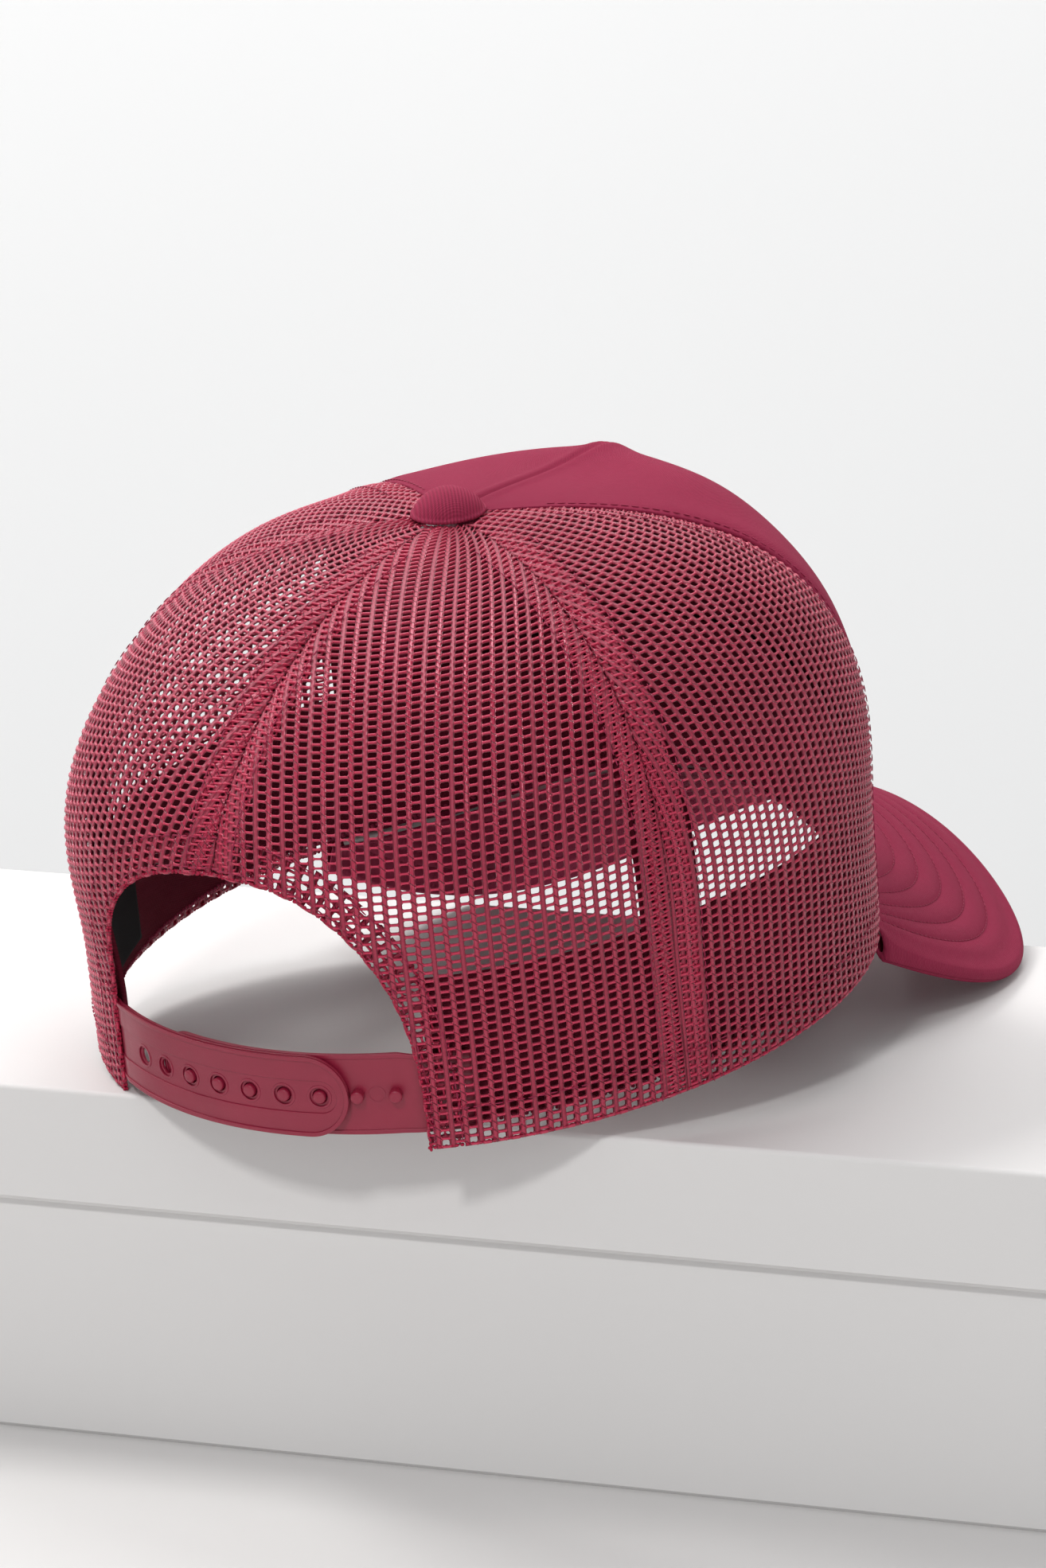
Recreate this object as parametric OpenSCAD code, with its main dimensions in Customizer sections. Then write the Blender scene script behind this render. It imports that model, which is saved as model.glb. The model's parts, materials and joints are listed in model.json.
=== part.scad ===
// Mesh back trucker cap with a curved visor and a snap closure, in millimetres.
// Front of the cap faces -Y, the snap closure faces +Y, +Z is up.
// The cap is drawn in its resting pose, leaning back on its rear edge and the visor.

/* [Crown] */
// Half the outside width of the crown at the rim
crown_half_width = 86.5; // [80:0.5:94]
// From the crown centre to the rear of the rim
crown_back = 105; // [96:0.5:112]
// From the crown centre to the front of the rim
crown_front = 93.5; // [88:0.5:100]
// Height of the crown above the rim at the button
crown_height = 110; // [98:0.5:122]
// How far the button sits behind the crown centre
button_back = 3.5; // [-4:0.5:8]
// Extra height of the pinched front peak
peak_height = 6.9; // [2:0.1:12]
// How far each mesh panel billows out between its seams
panel_pillow = 1.5; // [0:0.1:4]
// Angle from the rear centre to each side seam
side_seam_angle = 63.8; // [56:0.2:72]
// Angle from the rear centre to each front seam
front_seam_angle = 125.2; // [119:0.2:132]
// Thickness of the mesh and of the front cloth
cloth_thickness = 0.7; // [0.5:0.05:0.9]

/* [Rear opening] */
// Half the width of the opening along the rim
opening_half_width = 43; // [40:0.5:48]
// Height of the opening above the rim
opening_height = 62.8; // [52:0.5:70]
// Width of the folded edge round the opening
binding_width = 8; // [5:0.5:10]

/* [Visor] */
// Length of the visor ahead of the crown on the centre line
visor_length = 74; // [62:0.5:84]
// Angle from the rear centre at which the visor begins
visor_angle = 117.2; // [114:0.2:121]
// Radius the visor is bent to at its root
visor_bend = 80; // [70:1:120]
// Downward slope of the visor from the rim plane
visor_slope = 27; // [16:0.5:30]
// Thickness of the stiff board inside the visor
visor_board_thickness = 2; // [1.4:0.1:2.6]

/* [Sweatband and tapes] */
// Height of the sweatband
sweatband_height = 36; // [30:0.5:40]
// Width of the tape over each inside seam
tape_width = 14; // [10:0.5:16]
// Depth of the folded hem of the mesh
hem_depth = 10; // [6:0.5:10.5]

/* [Snap closure] */
// Height of the straps
strap_width = 18.6; // [16:0.1:20]
// Height of the strap centre line above the rim
strap_lift = 12.9; // [11:0.1:14]
// Distance between neighbouring pegs and holes
snap_pitch = 8.35; // [8:0.05:8.6]
// Radius of each peg
peg_radius = 1.45; // [1.2:0.05:1.6]
// Radius of each hole
hole_radius = 2.4; // [2.3:0.05:2.7]
// Number of pegs and of holes in a full strap
snap_count = 7; // [7:1:7]

/* [Button] */
// Radius of the cloth covered button
button_radius = 8.4; // [7:0.1:9.5]
// Height of the button
button_height = 6; // [4.5:0.1:7]

/* [Hidden] */
grow = 1.9;
tape_depth = -0.95;
tape_thickness = 0.5;
band_depth = -3.15;
band_thickness = 1.1;
band_drop = 4.5;
tab_depth = -1.75;
tab_thickness = 1.1;
backing_depth = -1.1;
backing_thickness = 0.5;
seam_gap = 0.15;
panel_rows = 18;
crown_open = 0.985;
visor_corner_x = crown_half_width * sin(visor_angle);
visor_corner_y = crown_front * cos(visor_angle);
visor_tighten = 0.3;
visor_side_swell = 6.4;
visor_tip_droop = 5.5;
visor_plan_power = 2.37;
visor_clear = 1.3;
visor_cover = 0.6;
visor_reach = crown_front + visor_length + visor_corner_y;
strap_radius = crown_half_width * crown_half_width / crown_back;
strap_centre_y = crown_back - strap_radius;
strap_inner = strap_radius - 2.85;
peg_strap_thickness = 1.1;
hole_strap_thickness = 1.3;
hole_strap_inner = strap_inner + peg_strap_thickness + 0.25;
hinge_radius = strap_radius - 2.3;
hinge_run = opening_half_width - 4;
hinge_angle = hinge_run / strap_radius * 180 / PI;
snap_shift = 3.4;
snap_step = snap_pitch / strap_radius * 180 / PI;
snap_first = (snap_shift - 4 * snap_pitch) / strap_radius * 180 / PI;
strap_low = strap_lift - strap_width / 2;

// Smooth step between 0 and 1
function ease(x) = let (t = min(1, max(0, x))) t * t * (3 - 2 * t);
function pw(x, e) = x <= 0 ? 0 : pow(x, e);
// Angle folded to 0 at the rear and 180 at the front
function folded(phi) = abs(phi > 180 ? phi - 360 : phi);
function mixed(phi, back, side, front) =
    side + (back - side) * pow((1 + cos(phi)) / 2, 2) + (front - side) * pow((1 - cos(phi)) / 2, 2);
function round_power(phi) = mixed(phi, 2.35, 3.1, 2.0);
function rise_power(phi) = mixed(phi, 3.85, 2.75, 5.5);
function belly(phi) = mixed(phi, 0.064, -0.015, 0.03);
function panel_share(f) =
    f < side_seam_angle ? f / side_seam_angle
    : f < front_seam_angle ? (f - side_seam_angle) / (front_seam_angle - side_seam_angle)
    : (f - front_seam_angle) / (180 - front_seam_angle);
function reach_y(phi) = cos(phi) > 0 ? crown_back : crown_front;

// Point of the crown at angle phi and rise u (0 rim, 1 button), moved outward by off
function crown(phi, u, off) =
    let (
        lift_angle = 90 * pow(min(1, max(0, u)), grow),
        rho = pw(cos(lift_angle), 2 / round_power(phi)),
        h = pw(sin(lift_angle), 2 / rise_power(phi)),
        f = folded(phi),
        pillow = panel_pillow * (f < front_seam_angle ? 1 : 0.4) * sin(180 * panel_share(f)) * sin(180 * h),
        out = pow(sin(180 * max(0, h - 0.2) / 0.8), 2),
        rim = [-(crown_half_width + off) * sin(phi), (reach_y(phi) + off) * cos(phi)],
        way = rim - [0, button_back],
        flat = [0, button_back] + way * rho * (1 + belly(phi) * out) + way / norm(way) * pillow * sqrt(h),
        crest = peak_height * pow(max(0, -cos(phi)), 4) * exp(-pow((rho - 0.737) / 0.22, 2)) * ease(1.2 * h)
    )
    [flat[0], flat[1], (crown_height + off) * h + crest + 1.4 * pillow * (1 - rho)];

// Rise u at which the crown reaches height z
function rise(phi, z) =
    pow(asin(min(1, pow(max(0, z) / crown_height, rise_power(phi) / 2))) / 90, 1 / grow);

// Height of the visor sheet over the point x, y
function visor_z(x, y) =
    let (
        ahead = visor_corner_y - y,
        bend = visor_bend * (1 - visor_tighten * ahead / 100)
    )
    bend * (cos(x / bend * 180 / PI) - cos(visor_corner_x / bend * 180 / PI)) - tan(visor_slope) * ahead;

// Height of the lower edge of the crown at angle phi
function rim_z(phi) =
    let (f = folded(phi))
    f <= visor_angle ? 0 : max(0, visor_z(crown_half_width * sin(f), crown_front * cos(f)));

// Arc length along the rear rim from the centre, as pairs for a lookup
run_steps = [for (i = 0, s = 0; i <= 100; s = s + arc_step(i), i = i + 1) [s, i]];
function arc_step(i) =
    PI / 180 * norm([crown_half_width * cos(i + 0.5), crown_back * sin(i + 0.5)]);
function angle_at(s) = s < 0 ? -lookup(-s, run_steps) : lookup(s, run_steps);

// Edge of the rear opening at parameter t (-90 to 90), moved into the cloth by d
function arch(t, d) =
    let (
        m = 2.5,
        s = opening_half_width * sign(t) * pw(abs(sin(t)), 2 / m),
        z = opening_height * pw(cos(t), 2 / m),
        g = [sign(t) * pow(abs(s) / opening_half_width, m - 1) / opening_half_width,
             pow(z / opening_height, m - 1) / opening_height],
        n = g / max(1e-9, norm(g))
    )
    [s + d * n[0], z + d * n[1]];
function arch_point(t, d, off) =
    let (q = arch(t, d), phi = angle_at(q[0]))
    crown(phi, rise(phi, q[1]), off);

// Closed solid between an outer and an inner grid of points
module slab(outer, inner) {
    n = len(outer) - 1;
    m = len(outer[0]) - 1;
    w = m + 1;
    k = (n + 1) * w;
    points = concat([for (r = outer) for (p = r) p], [for (r = inner) for (p = r) p]);
    skins = [for (i = [0:n - 1]) for (j = [0:m - 1])
        let (a = i * w + j, b = a + 1, c = a + w + 1, d = a + w)
        each [[a, b, c], [a, c, d], [k + a, k + c, k + b], [k + a, k + d, k + c]]];
    ends_low = [for (i = [0:n - 1]) let (a = i * w, d = a + w) each [[a, d, k + d], [a, k + d, k + a]]];
    ends_high = [for (i = [0:n - 1]) let (a = i * w + m, d = a + w) each [[d, a, k + a], [d, k + a, k + d]]];
    side_first = [for (j = [0:m - 1]) let (a = j, b = j + 1) each [[b, a, k + a], [b, k + a, k + b]]];
    side_last = [for (j = [0:m - 1]) let (a = n * w + j, b = a + 1) each [[a, b, k + b], [a, k + b, k + a]]];
    polyhedron(points = points, faces = concat(skins, ends_low, ends_high, side_first, side_last), convexity = 8);
}

// Leans the cap back so the visor and the rear edge both rest on the ground
contact_y = crown_back * cos(angle_at(opening_half_width));
visor_skin = visor_board_thickness / 2 + 0.3 + visor_cover;
visor_edge = [for (i = [0:40]) visor_point(i / 40, 1, -visor_skin)];
lean = max([for (p = visor_edge) atan2(-p[2], contact_y - p[1])]);
function leant(p) = [p[0], p[1] * cos(lean) + p[2] * sin(lean), p[2] * cos(lean) - p[1] * sin(lean)];
ground = leant([0, contact_y, 0])[2];
bulge_line = [for (i = [0:60]) leant(arch_point(i * 0.01, binding_width + i, 0))];
strap_back = leant([0, strap_centre_y + hole_strap_inner + hole_strap_thickness + 0.45, strap_lift + strap_width / 2 - 1])[1];
rear_y = max(strap_back, max([for (p = bulge_line) p[1]]));
front_y = min([for (i = [0:20]) for (side = [-1, 1]) leant(visor_point(i / 40, 1, side * visor_skin))[1]]);
module rest() {
    translate([0, -(rear_y + front_y) / 2, -ground]) rotate([-lean, 0, 0]) children();
}

// Point of the visor: v 0 centre to 1 side, w 0 root to 1 edge, off along its normal
function visor_flat(v, w) =
    let (
        side = v < 0 ? -1 : 1,
        a = abs(v),
        phi = 180 - a * (180 - visor_angle),
        root = [(crown_half_width + visor_clear) * sin(phi), (crown_front + visor_clear) * cos(phi)],
        t = a * 90,
        edge = [visor_corner_x * pw(sin(t), 2 / visor_plan_power) + visor_side_swell * sin(2 * t) + 0.8 * a,
                visor_corner_y - visor_reach * pw(cos(t), 2 / visor_plan_power) - 0.4 * a],
        q = root + (edge - root) * w
    )
    [side * q[0], q[1]];
function visor_point(v, w, off) =
    let (
        q = visor_flat(v, w),
        z = visor_z(q[0], q[1]),
        n = [visor_z(q[0] - 0.5, q[1]) - visor_z(q[0] + 0.5, q[1]),
             visor_z(q[0], q[1] - 0.5) - visor_z(q[0], q[1] + 0.5), 1]
    )
    [q[0], q[1], z - visor_tip_droop * w * w] + n / norm(n) * off;

visor_steps = 32;
visor_rows = 9;
module visor_sheet(high, low, inset) {
    function u(i) = -1 + 2 * i / visor_steps;
    function edge_share(j) = (1 - inset) * j / visor_rows + inset / 2;
    outer = [for (i = [0:visor_steps]) [for (j = [0:visor_rows])
        visor_point(u(i) * (1 - inset), edge_share(j), high)]];
    inner = [for (i = [0:visor_steps]) [for (j = [0:visor_rows])
        visor_point(u(i) * (1 - inset), edge_share(j), low)]];
    slab(inner, outer);
}

// Angles of a panel's columns, with the crowded ones at the rear opening first
function span(a, b, n) = [for (i = [0:n]) a + (b - a) * i / n];
module panel(angles, lows, high_off, low_off, top) {
    n = len(angles) - 1;
    function grid(off) = [for (i = [0:n]) [for (j = [0:panel_rows])
        let (u0 = rise(angles[i], lows[i])) crown(angles[i], u0 + (top - u0) * j / panel_rows, off)]];
    slab(grid(high_off), grid(low_off));
}
rear_edge = [for (t = span(0, 90, 10)) arch(t, 0)];
rear_angles = concat([for (q = rear_edge) angle_at(q[0])],
    [for (i = [1:5]) angle_at(opening_half_width) + (side_seam_angle - angle_at(opening_half_width)) * i / 5]);
rear_lows = concat([for (q = rear_edge) q[1]], [for (i = [1:5]) 0]);

// One rear mesh panel, side 1 for the wearer's right and -1 for the left
module rear_panel() {
    last = len(rear_angles) - 1;
    inset_angles = [for (i = [0:last]) i == 0 ? seam_gap : i == last ? side_seam_angle - seam_gap : rear_angles[i]];
    panel(inset_angles, rear_lows, 0, -cloth_thickness, crown_open);
}
module side_panel() {
    angles = span(side_seam_angle + seam_gap, front_seam_angle - seam_gap, 13);
    panel(angles, [for (a = angles) rim_z(a)], 0, -cloth_thickness, crown_open);
}
module back_mesh_right() {
    color("firebrick") rest() rear_panel();
}
module back_mesh_left() {
    color("firebrick") rest() mirror([1, 0, 0]) rear_panel();
}
module side_mesh_right() {
    color("brown") rest() side_panel();
}
module side_mesh_left() {
    color("brown") rest() mirror([1, 0, 0]) side_panel();
}
module front_panel() {
    angles = span(front_seam_angle + seam_gap, 360 - front_seam_angle - seam_gap, 24);
    color("crimson") rest() panel(angles, [for (a = angles) rim_z(a)], 0, -cloth_thickness, crown_open);
}
module front_backing() {
    margin = 8.5;
    angles = span(front_seam_angle + margin, 360 - front_seam_angle - margin, 20);
    color("whitesmoke") rest()
        panel(angles, [for (a = angles) rim_z(a) + 2], backing_depth, backing_depth - backing_thickness, 0.82);
}

// Tape along a seam at angle phi, from rise low to rise high
module seam_tape(phi, low, high) {
    reach = norm([crown_half_width * sin(phi), reach_y(phi) * cos(phi) - button_back]);
    rows = 20;
    function spread(u) = max(0.1, pw(cos(90 * pow(u, grow)), 2 / round_power(phi))) * reach;
    function grid(off) = [for (i = [0:4]) [for (j = [0:rows])
        let (u = low + (high - low) * j / rows, s = (i / 2 - 1) * tape_width / 2)
        crown(phi + s / spread(u) * 180 / PI, u, off)]];
    slab(grid(tape_depth), grid(tape_depth - tape_thickness));
}
tape_top = 0.93;
tape_low_z = hem_depth + 1;
module seam_tape_rear() {
    color("maroon") rest() seam_tape(0, rise(0, opening_height + binding_width + 1.5), tape_top);
}
module seam_tape_side_right() {
    color("maroon") rest() seam_tape(side_seam_angle, rise(side_seam_angle, tape_low_z), tape_top);
}
module seam_tape_side_left() {
    color("maroon") rest() mirror([1, 0, 0])
        seam_tape(side_seam_angle, rise(side_seam_angle, tape_low_z), tape_top);
}
module seam_tape_front_right() {
    color("maroon") rest() seam_tape(front_seam_angle, rise(front_seam_angle, tape_low_z), tape_top);
}
module seam_tape_front_left() {
    color("maroon") rest() mirror([1, 0, 0])
        seam_tape(front_seam_angle, rise(front_seam_angle, tape_low_z), tape_top);
}

// Folded edge that runs over the rear opening
module opening_binding() {
    ts = span(-90, 90, 36);
    function grid(off) = [for (t = ts) [for (j = [0:3]) arch_point(t, 0.4 + (binding_width - 0.4) * j / 3, off)]];
    color("brown") rest() slab(grid(tape_depth), grid(tape_depth - tape_thickness));
}

// Folded lower hem of the mesh on one side
module hem() {
    angles = span(angle_at(opening_half_width + binding_width + 1), visor_angle - 1, 18);
    function grid(off) = [for (a = angles) [for (j = [0:2]) crown(a, rise(a, 0.3 + (hem_depth - 0.3) * j / 2), off)]];
    slab(grid(tape_depth), grid(tape_depth - tape_thickness));
}
module hem_right() {
    color("firebrick") rest() hem();
}
module hem_left() {
    color("firebrick") rest() mirror([1, 0, 0]) hem();
}

// Sweatband round the inside of the rim, open at the rear
band_start = angle_at(opening_half_width) + 0.6;
module band(a, b, low, high, depth, thickness, columns) {
    angles = span(a, b, columns);
    function grid(off) = [for (p = angles) [for (j = [0:5])
        crown(p, rise(p, rim_z(p) + low + (high - low) * j / 5), off)]];
    slab(grid(depth), grid(depth - thickness));
}
module sweatband() {
    color("maroon") rest()
        band(band_start, 360 - band_start, band_drop, band_drop + sweatband_height, band_depth, band_thickness, 72);
}
module size_label() {
    color("black") rest()
        band(290, 310, 8, 30, band_depth - band_thickness - 0.3, 0.35, 8);
}

// Visor: stiff board between two cloth covers
module visor_board() {
    color("white") rest() visor_sheet(visor_board_thickness / 2, -visor_board_thickness / 2, 0.04);
}
module visor_top_cover() {
    base = visor_board_thickness / 2 + 0.3;
    color("crimson") rest() visor_sheet(base + visor_cover, base, 0);
}
module visor_under_cover() {
    base = -visor_board_thickness / 2 - 0.3;
    color("crimson") rest() visor_sheet(base, base - visor_cover, 0);
}

// Cloth covered button, its rivet and the washer inside the crown
module at_button() {
    rest() translate([0, button_back, crown_height]) children();
}
module button_cap() {
    ball = (button_radius * button_radius + button_height * button_height) / (2 * button_height);
    color("crimson") at_button() difference() {
        intersection() {
            translate([0, 0, 0.3 + button_height - ball]) sphere(r = ball, $fn = 64);
            translate([0, 0, 0.3]) cylinder(r = button_radius + 1, h = button_height, $fn = 64);
        }
        translate([0, 0, -1]) cylinder(r = 2.15, h = 4, $fn = 32);
    }
}
module button_rivet() {
    color("silver") at_button() union() {
        translate([0, 0, -4.5]) cylinder(r = 2, h = 7.2, $fn = 32);
        translate([0, 0, -5.3]) cylinder(r = 3.6, h = 0.8, $fn = 32);
    }
}
module button_washer() {
    color("silver") at_button() translate([0, 0, -4.3]) difference() {
        cylinder(r = 7, h = 0.8, $fn = 48);
        translate([0, 0, -1]) cylinder(r = 2.2, h = 3, $fn = 32);
    }
}

// Places its children on the strap circle at an angle from the rear centre
module on_strap(angle) {
    translate([0, strap_centre_y, strap_lift]) rotate([0, 0, angle]) children();
}
// Plan outline of a curved strip from angle a to angle b, between two radii
module strip_outline(a, b, inner, thickness) {
    wedge = [for (i = [0:6]) let (t = a + (b - a) * i / 6) 100 * [-sin(t), cos(t)]];
    intersection() {
        difference() {
            circle(r = inner + thickness, $fn = 96);
            circle(r = inner, $fn = 96);
        }
        polygon(concat([[0, 0]], wedge));
    }
}
// Everything on the root side of angle t, with a round end of the given radius
module end_mask(t, radius, root_side) {
    on_strap(t) {
        rotate([-90, 0, 0]) cylinder(r = radius, h = 100, $fn = 64);
        translate([root_side > 0 ? -120 : 0, -20, -20]) cube([120, 140, 40]);
    }
}
hole_end = snap_first + 6 * snap_step - 3 / strap_radius * 180 / PI;
peg_end = snap_first + 2 * snap_step + 1;
neck_end = -hinge_angle + 9 / strap_radius * 180 / PI;
root_radius = peg_strap_thickness / 2 + 0.03;
recess_depth = 0.3;
recess_margin = 2.3;
module snap_cutters(radius) {
    for (k = [0:snap_count - 1])
        on_strap(snap_first + k * snap_step) rotate([-90, 0, 0]) cylinder(r = radius, h = 100, $fn = 32);
}
module hole_strap() {
    mid = hole_strap_inner + hole_strap_thickness / 2;
    outer = hole_strap_inner + hole_strap_thickness;
    from = [-hinge_radius * sin(-hinge_angle), hinge_radius * cos(hinge_angle)];
    to = [-mid * sin(neck_end), mid * cos(neck_end)];
    way = to - from;
    color("firebrick") rest() difference() {
        intersection() {
            translate([0, strap_centre_y, strap_low]) linear_extrude(height = strap_width) union() {
                translate(from) circle(r = root_radius, $fn = 32);
                translate(from) rotate(atan2(way[1], way[0])) translate([0, -peg_strap_thickness / 2])
                    square([norm(way) + 0.4, peg_strap_thickness]);
                strip_outline(neck_end, hole_end + 10, hole_strap_inner, hole_strap_thickness);
            }
            end_mask(hole_end, strap_width / 2 + 0.35, -1);
        }
        intersection() {
            translate([0, strap_centre_y, strap_low + recess_margin])
                linear_extrude(height = strap_width - 2 * recess_margin)
                strip_outline(neck_end + 2, hole_end + 10, outer - recess_depth, 2);
            end_mask(hole_end, strap_width / 2 - recess_margin + 0.2, -1);
        }
        snap_cutters(hole_radius);
    }
}
module peg_strap() {
    from = [-hinge_radius * sin(hinge_angle), hinge_radius * cos(hinge_angle)];
    peg_tip = hole_strap_inner + hole_strap_thickness + 0.3;
    base = strap_inner + 0.4;
    color("firebrick") rest() union() {
        intersection() {
            translate([0, strap_centre_y, strap_low]) linear_extrude(height = strap_width) union() {
                translate(from) circle(r = root_radius, $fn = 32);
                strip_outline(peg_end - 10, hinge_angle, strap_inner, peg_strap_thickness);
            }
            end_mask(peg_end, strap_width / 2 + 0.35, 1);
        }
        for (k = [2:8])
            on_strap(snap_first + k * snap_step) translate([0, base, 0]) rotate([-90, 0, 0]) {
                cylinder(r = peg_radius, h = peg_tip - base - 0.5, $fn = 32);
                cylinder(r = peg_radius - 0.25, h = peg_tip - base, $fn = 32);
            }
    }
}
// Sewn root of a strap, between the mesh and the sweatband
module strap_tab() {
    angles = span(angle_at(hinge_run + 1.1), angle_at(hinge_run + 16), 5);
    function grid(off) = [for (a = angles) [for (j = [0:2]) crown(a, rise(a, strap_low + strap_width * j / 2), off)]];
    slab(grid(tab_depth), grid(tab_depth - tab_thickness));
}
module peg_strap_tab() {
    color("firebrick") rest() strap_tab();
}
module hole_strap_tab() {
    color("firebrick") rest() mirror([1, 0, 0]) strap_tab();
}

front_panel();
front_backing();
side_mesh_right();
side_mesh_left();
back_mesh_right();
back_mesh_left();
seam_tape_rear();
seam_tape_side_right();
seam_tape_side_left();
seam_tape_front_right();
seam_tape_front_left();
opening_binding();
hem_right();
hem_left();
sweatband();
size_label();
visor_board();
visor_top_cover();
visor_under_cover();
button_cap();
button_rivet();
button_washer();
hole_strap();
hole_strap_tab();
peg_strap();
peg_strap_tab();
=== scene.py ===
"""Mesh back cap with a cloth front, a curved visor and a snap closure."""

import json
import math

import bmesh
import bpy
import numpy as np
from mathutils import Matrix, Vector


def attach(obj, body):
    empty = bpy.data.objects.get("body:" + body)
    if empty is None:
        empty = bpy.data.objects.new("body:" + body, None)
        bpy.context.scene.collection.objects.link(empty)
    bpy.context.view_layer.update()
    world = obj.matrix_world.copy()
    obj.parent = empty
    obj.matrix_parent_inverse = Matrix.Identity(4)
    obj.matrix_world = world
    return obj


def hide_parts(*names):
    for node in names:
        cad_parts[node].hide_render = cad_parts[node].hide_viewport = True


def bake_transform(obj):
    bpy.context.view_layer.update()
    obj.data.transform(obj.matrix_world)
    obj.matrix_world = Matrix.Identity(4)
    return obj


bl_info = {
    "name": "Mesh Back Cap",
    "version": (1, 0, 0),
    "blender": (4, 5, 0),
    "location": "3D View > Sidebar > Cap",
    "description": "Builds a knitted mesh cap with a cloth front, a curved visor and a snap closure",
    "category": "Object",
}

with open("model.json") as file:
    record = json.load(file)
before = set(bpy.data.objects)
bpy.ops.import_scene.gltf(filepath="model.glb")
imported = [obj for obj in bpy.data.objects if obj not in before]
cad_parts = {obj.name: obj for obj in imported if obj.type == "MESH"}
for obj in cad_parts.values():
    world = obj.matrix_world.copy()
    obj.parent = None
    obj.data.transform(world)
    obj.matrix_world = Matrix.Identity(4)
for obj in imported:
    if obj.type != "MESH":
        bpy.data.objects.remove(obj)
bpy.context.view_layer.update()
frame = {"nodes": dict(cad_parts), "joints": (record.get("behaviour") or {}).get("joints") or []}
MM = 0.001

# ---------------------------------------------------------------- place of the cap


def resting_place():
    """Turns millimetres in the cap's own frame (rim plane level) into the row frame."""
    joint = frame["joints"][0]
    axis = -Vector(joint["axis"])
    lean = math.atan2(axis.y, axis.z)
    sizes = bpy.context.scene.cap_sizes
    circle = sizes.half_width**2 / sizes.back / MM
    swing = (sizes.opening_half_width / MM - 4) / circle
    run = sizes.back / MM - circle + (circle - 2.3) * math.cos(swing)
    hinge = Vector((0, run, sizes.strap_lift / MM)) * MM
    turn = Matrix.Rotation(-lean, 4, "X")
    moved = turn @ hinge
    at = Vector(joint["pos_m"])
    return Matrix.Translation((0, at.y - moved.y, at.z - moved.z)) @ turn


def to_row(points):
    """Points in millimetres in the cap's frame, as metres in the row frame."""
    m = np.array(resting_place())
    p = np.asarray(points, float) * MM
    return p @ m[:3, :3].T + m[:3, 3]


def turn_to_row(vectors):
    """Directions in the cap's frame, turned into the row frame."""
    m = np.array(resting_place())[:3, :3]
    return np.asarray(vectors, float) @ m.T


# ---------------------------------------------------------------- shape of the crown


def ease(x):
    """Smooth step from 0 to 1."""
    t = np.clip(x, 0, 1)
    return t * t * (3 - 2 * t)


def power(x, e):
    return np.power(np.maximum(x, 0), e)


def folded(phi):
    """Angle from the rear centre on either side, 0 to 180."""
    return np.abs((np.asarray(phi, float) + 180) % 360 - 180)


def mixed(phi, back, side, front):
    """A value that runs from its rear over its side to its front amount."""
    c = np.cos(np.radians(phi))
    return side + (back - side) * ((1 + c) / 2) ** 2 + (front - side) * ((1 - c) / 2) ** 2


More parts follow.
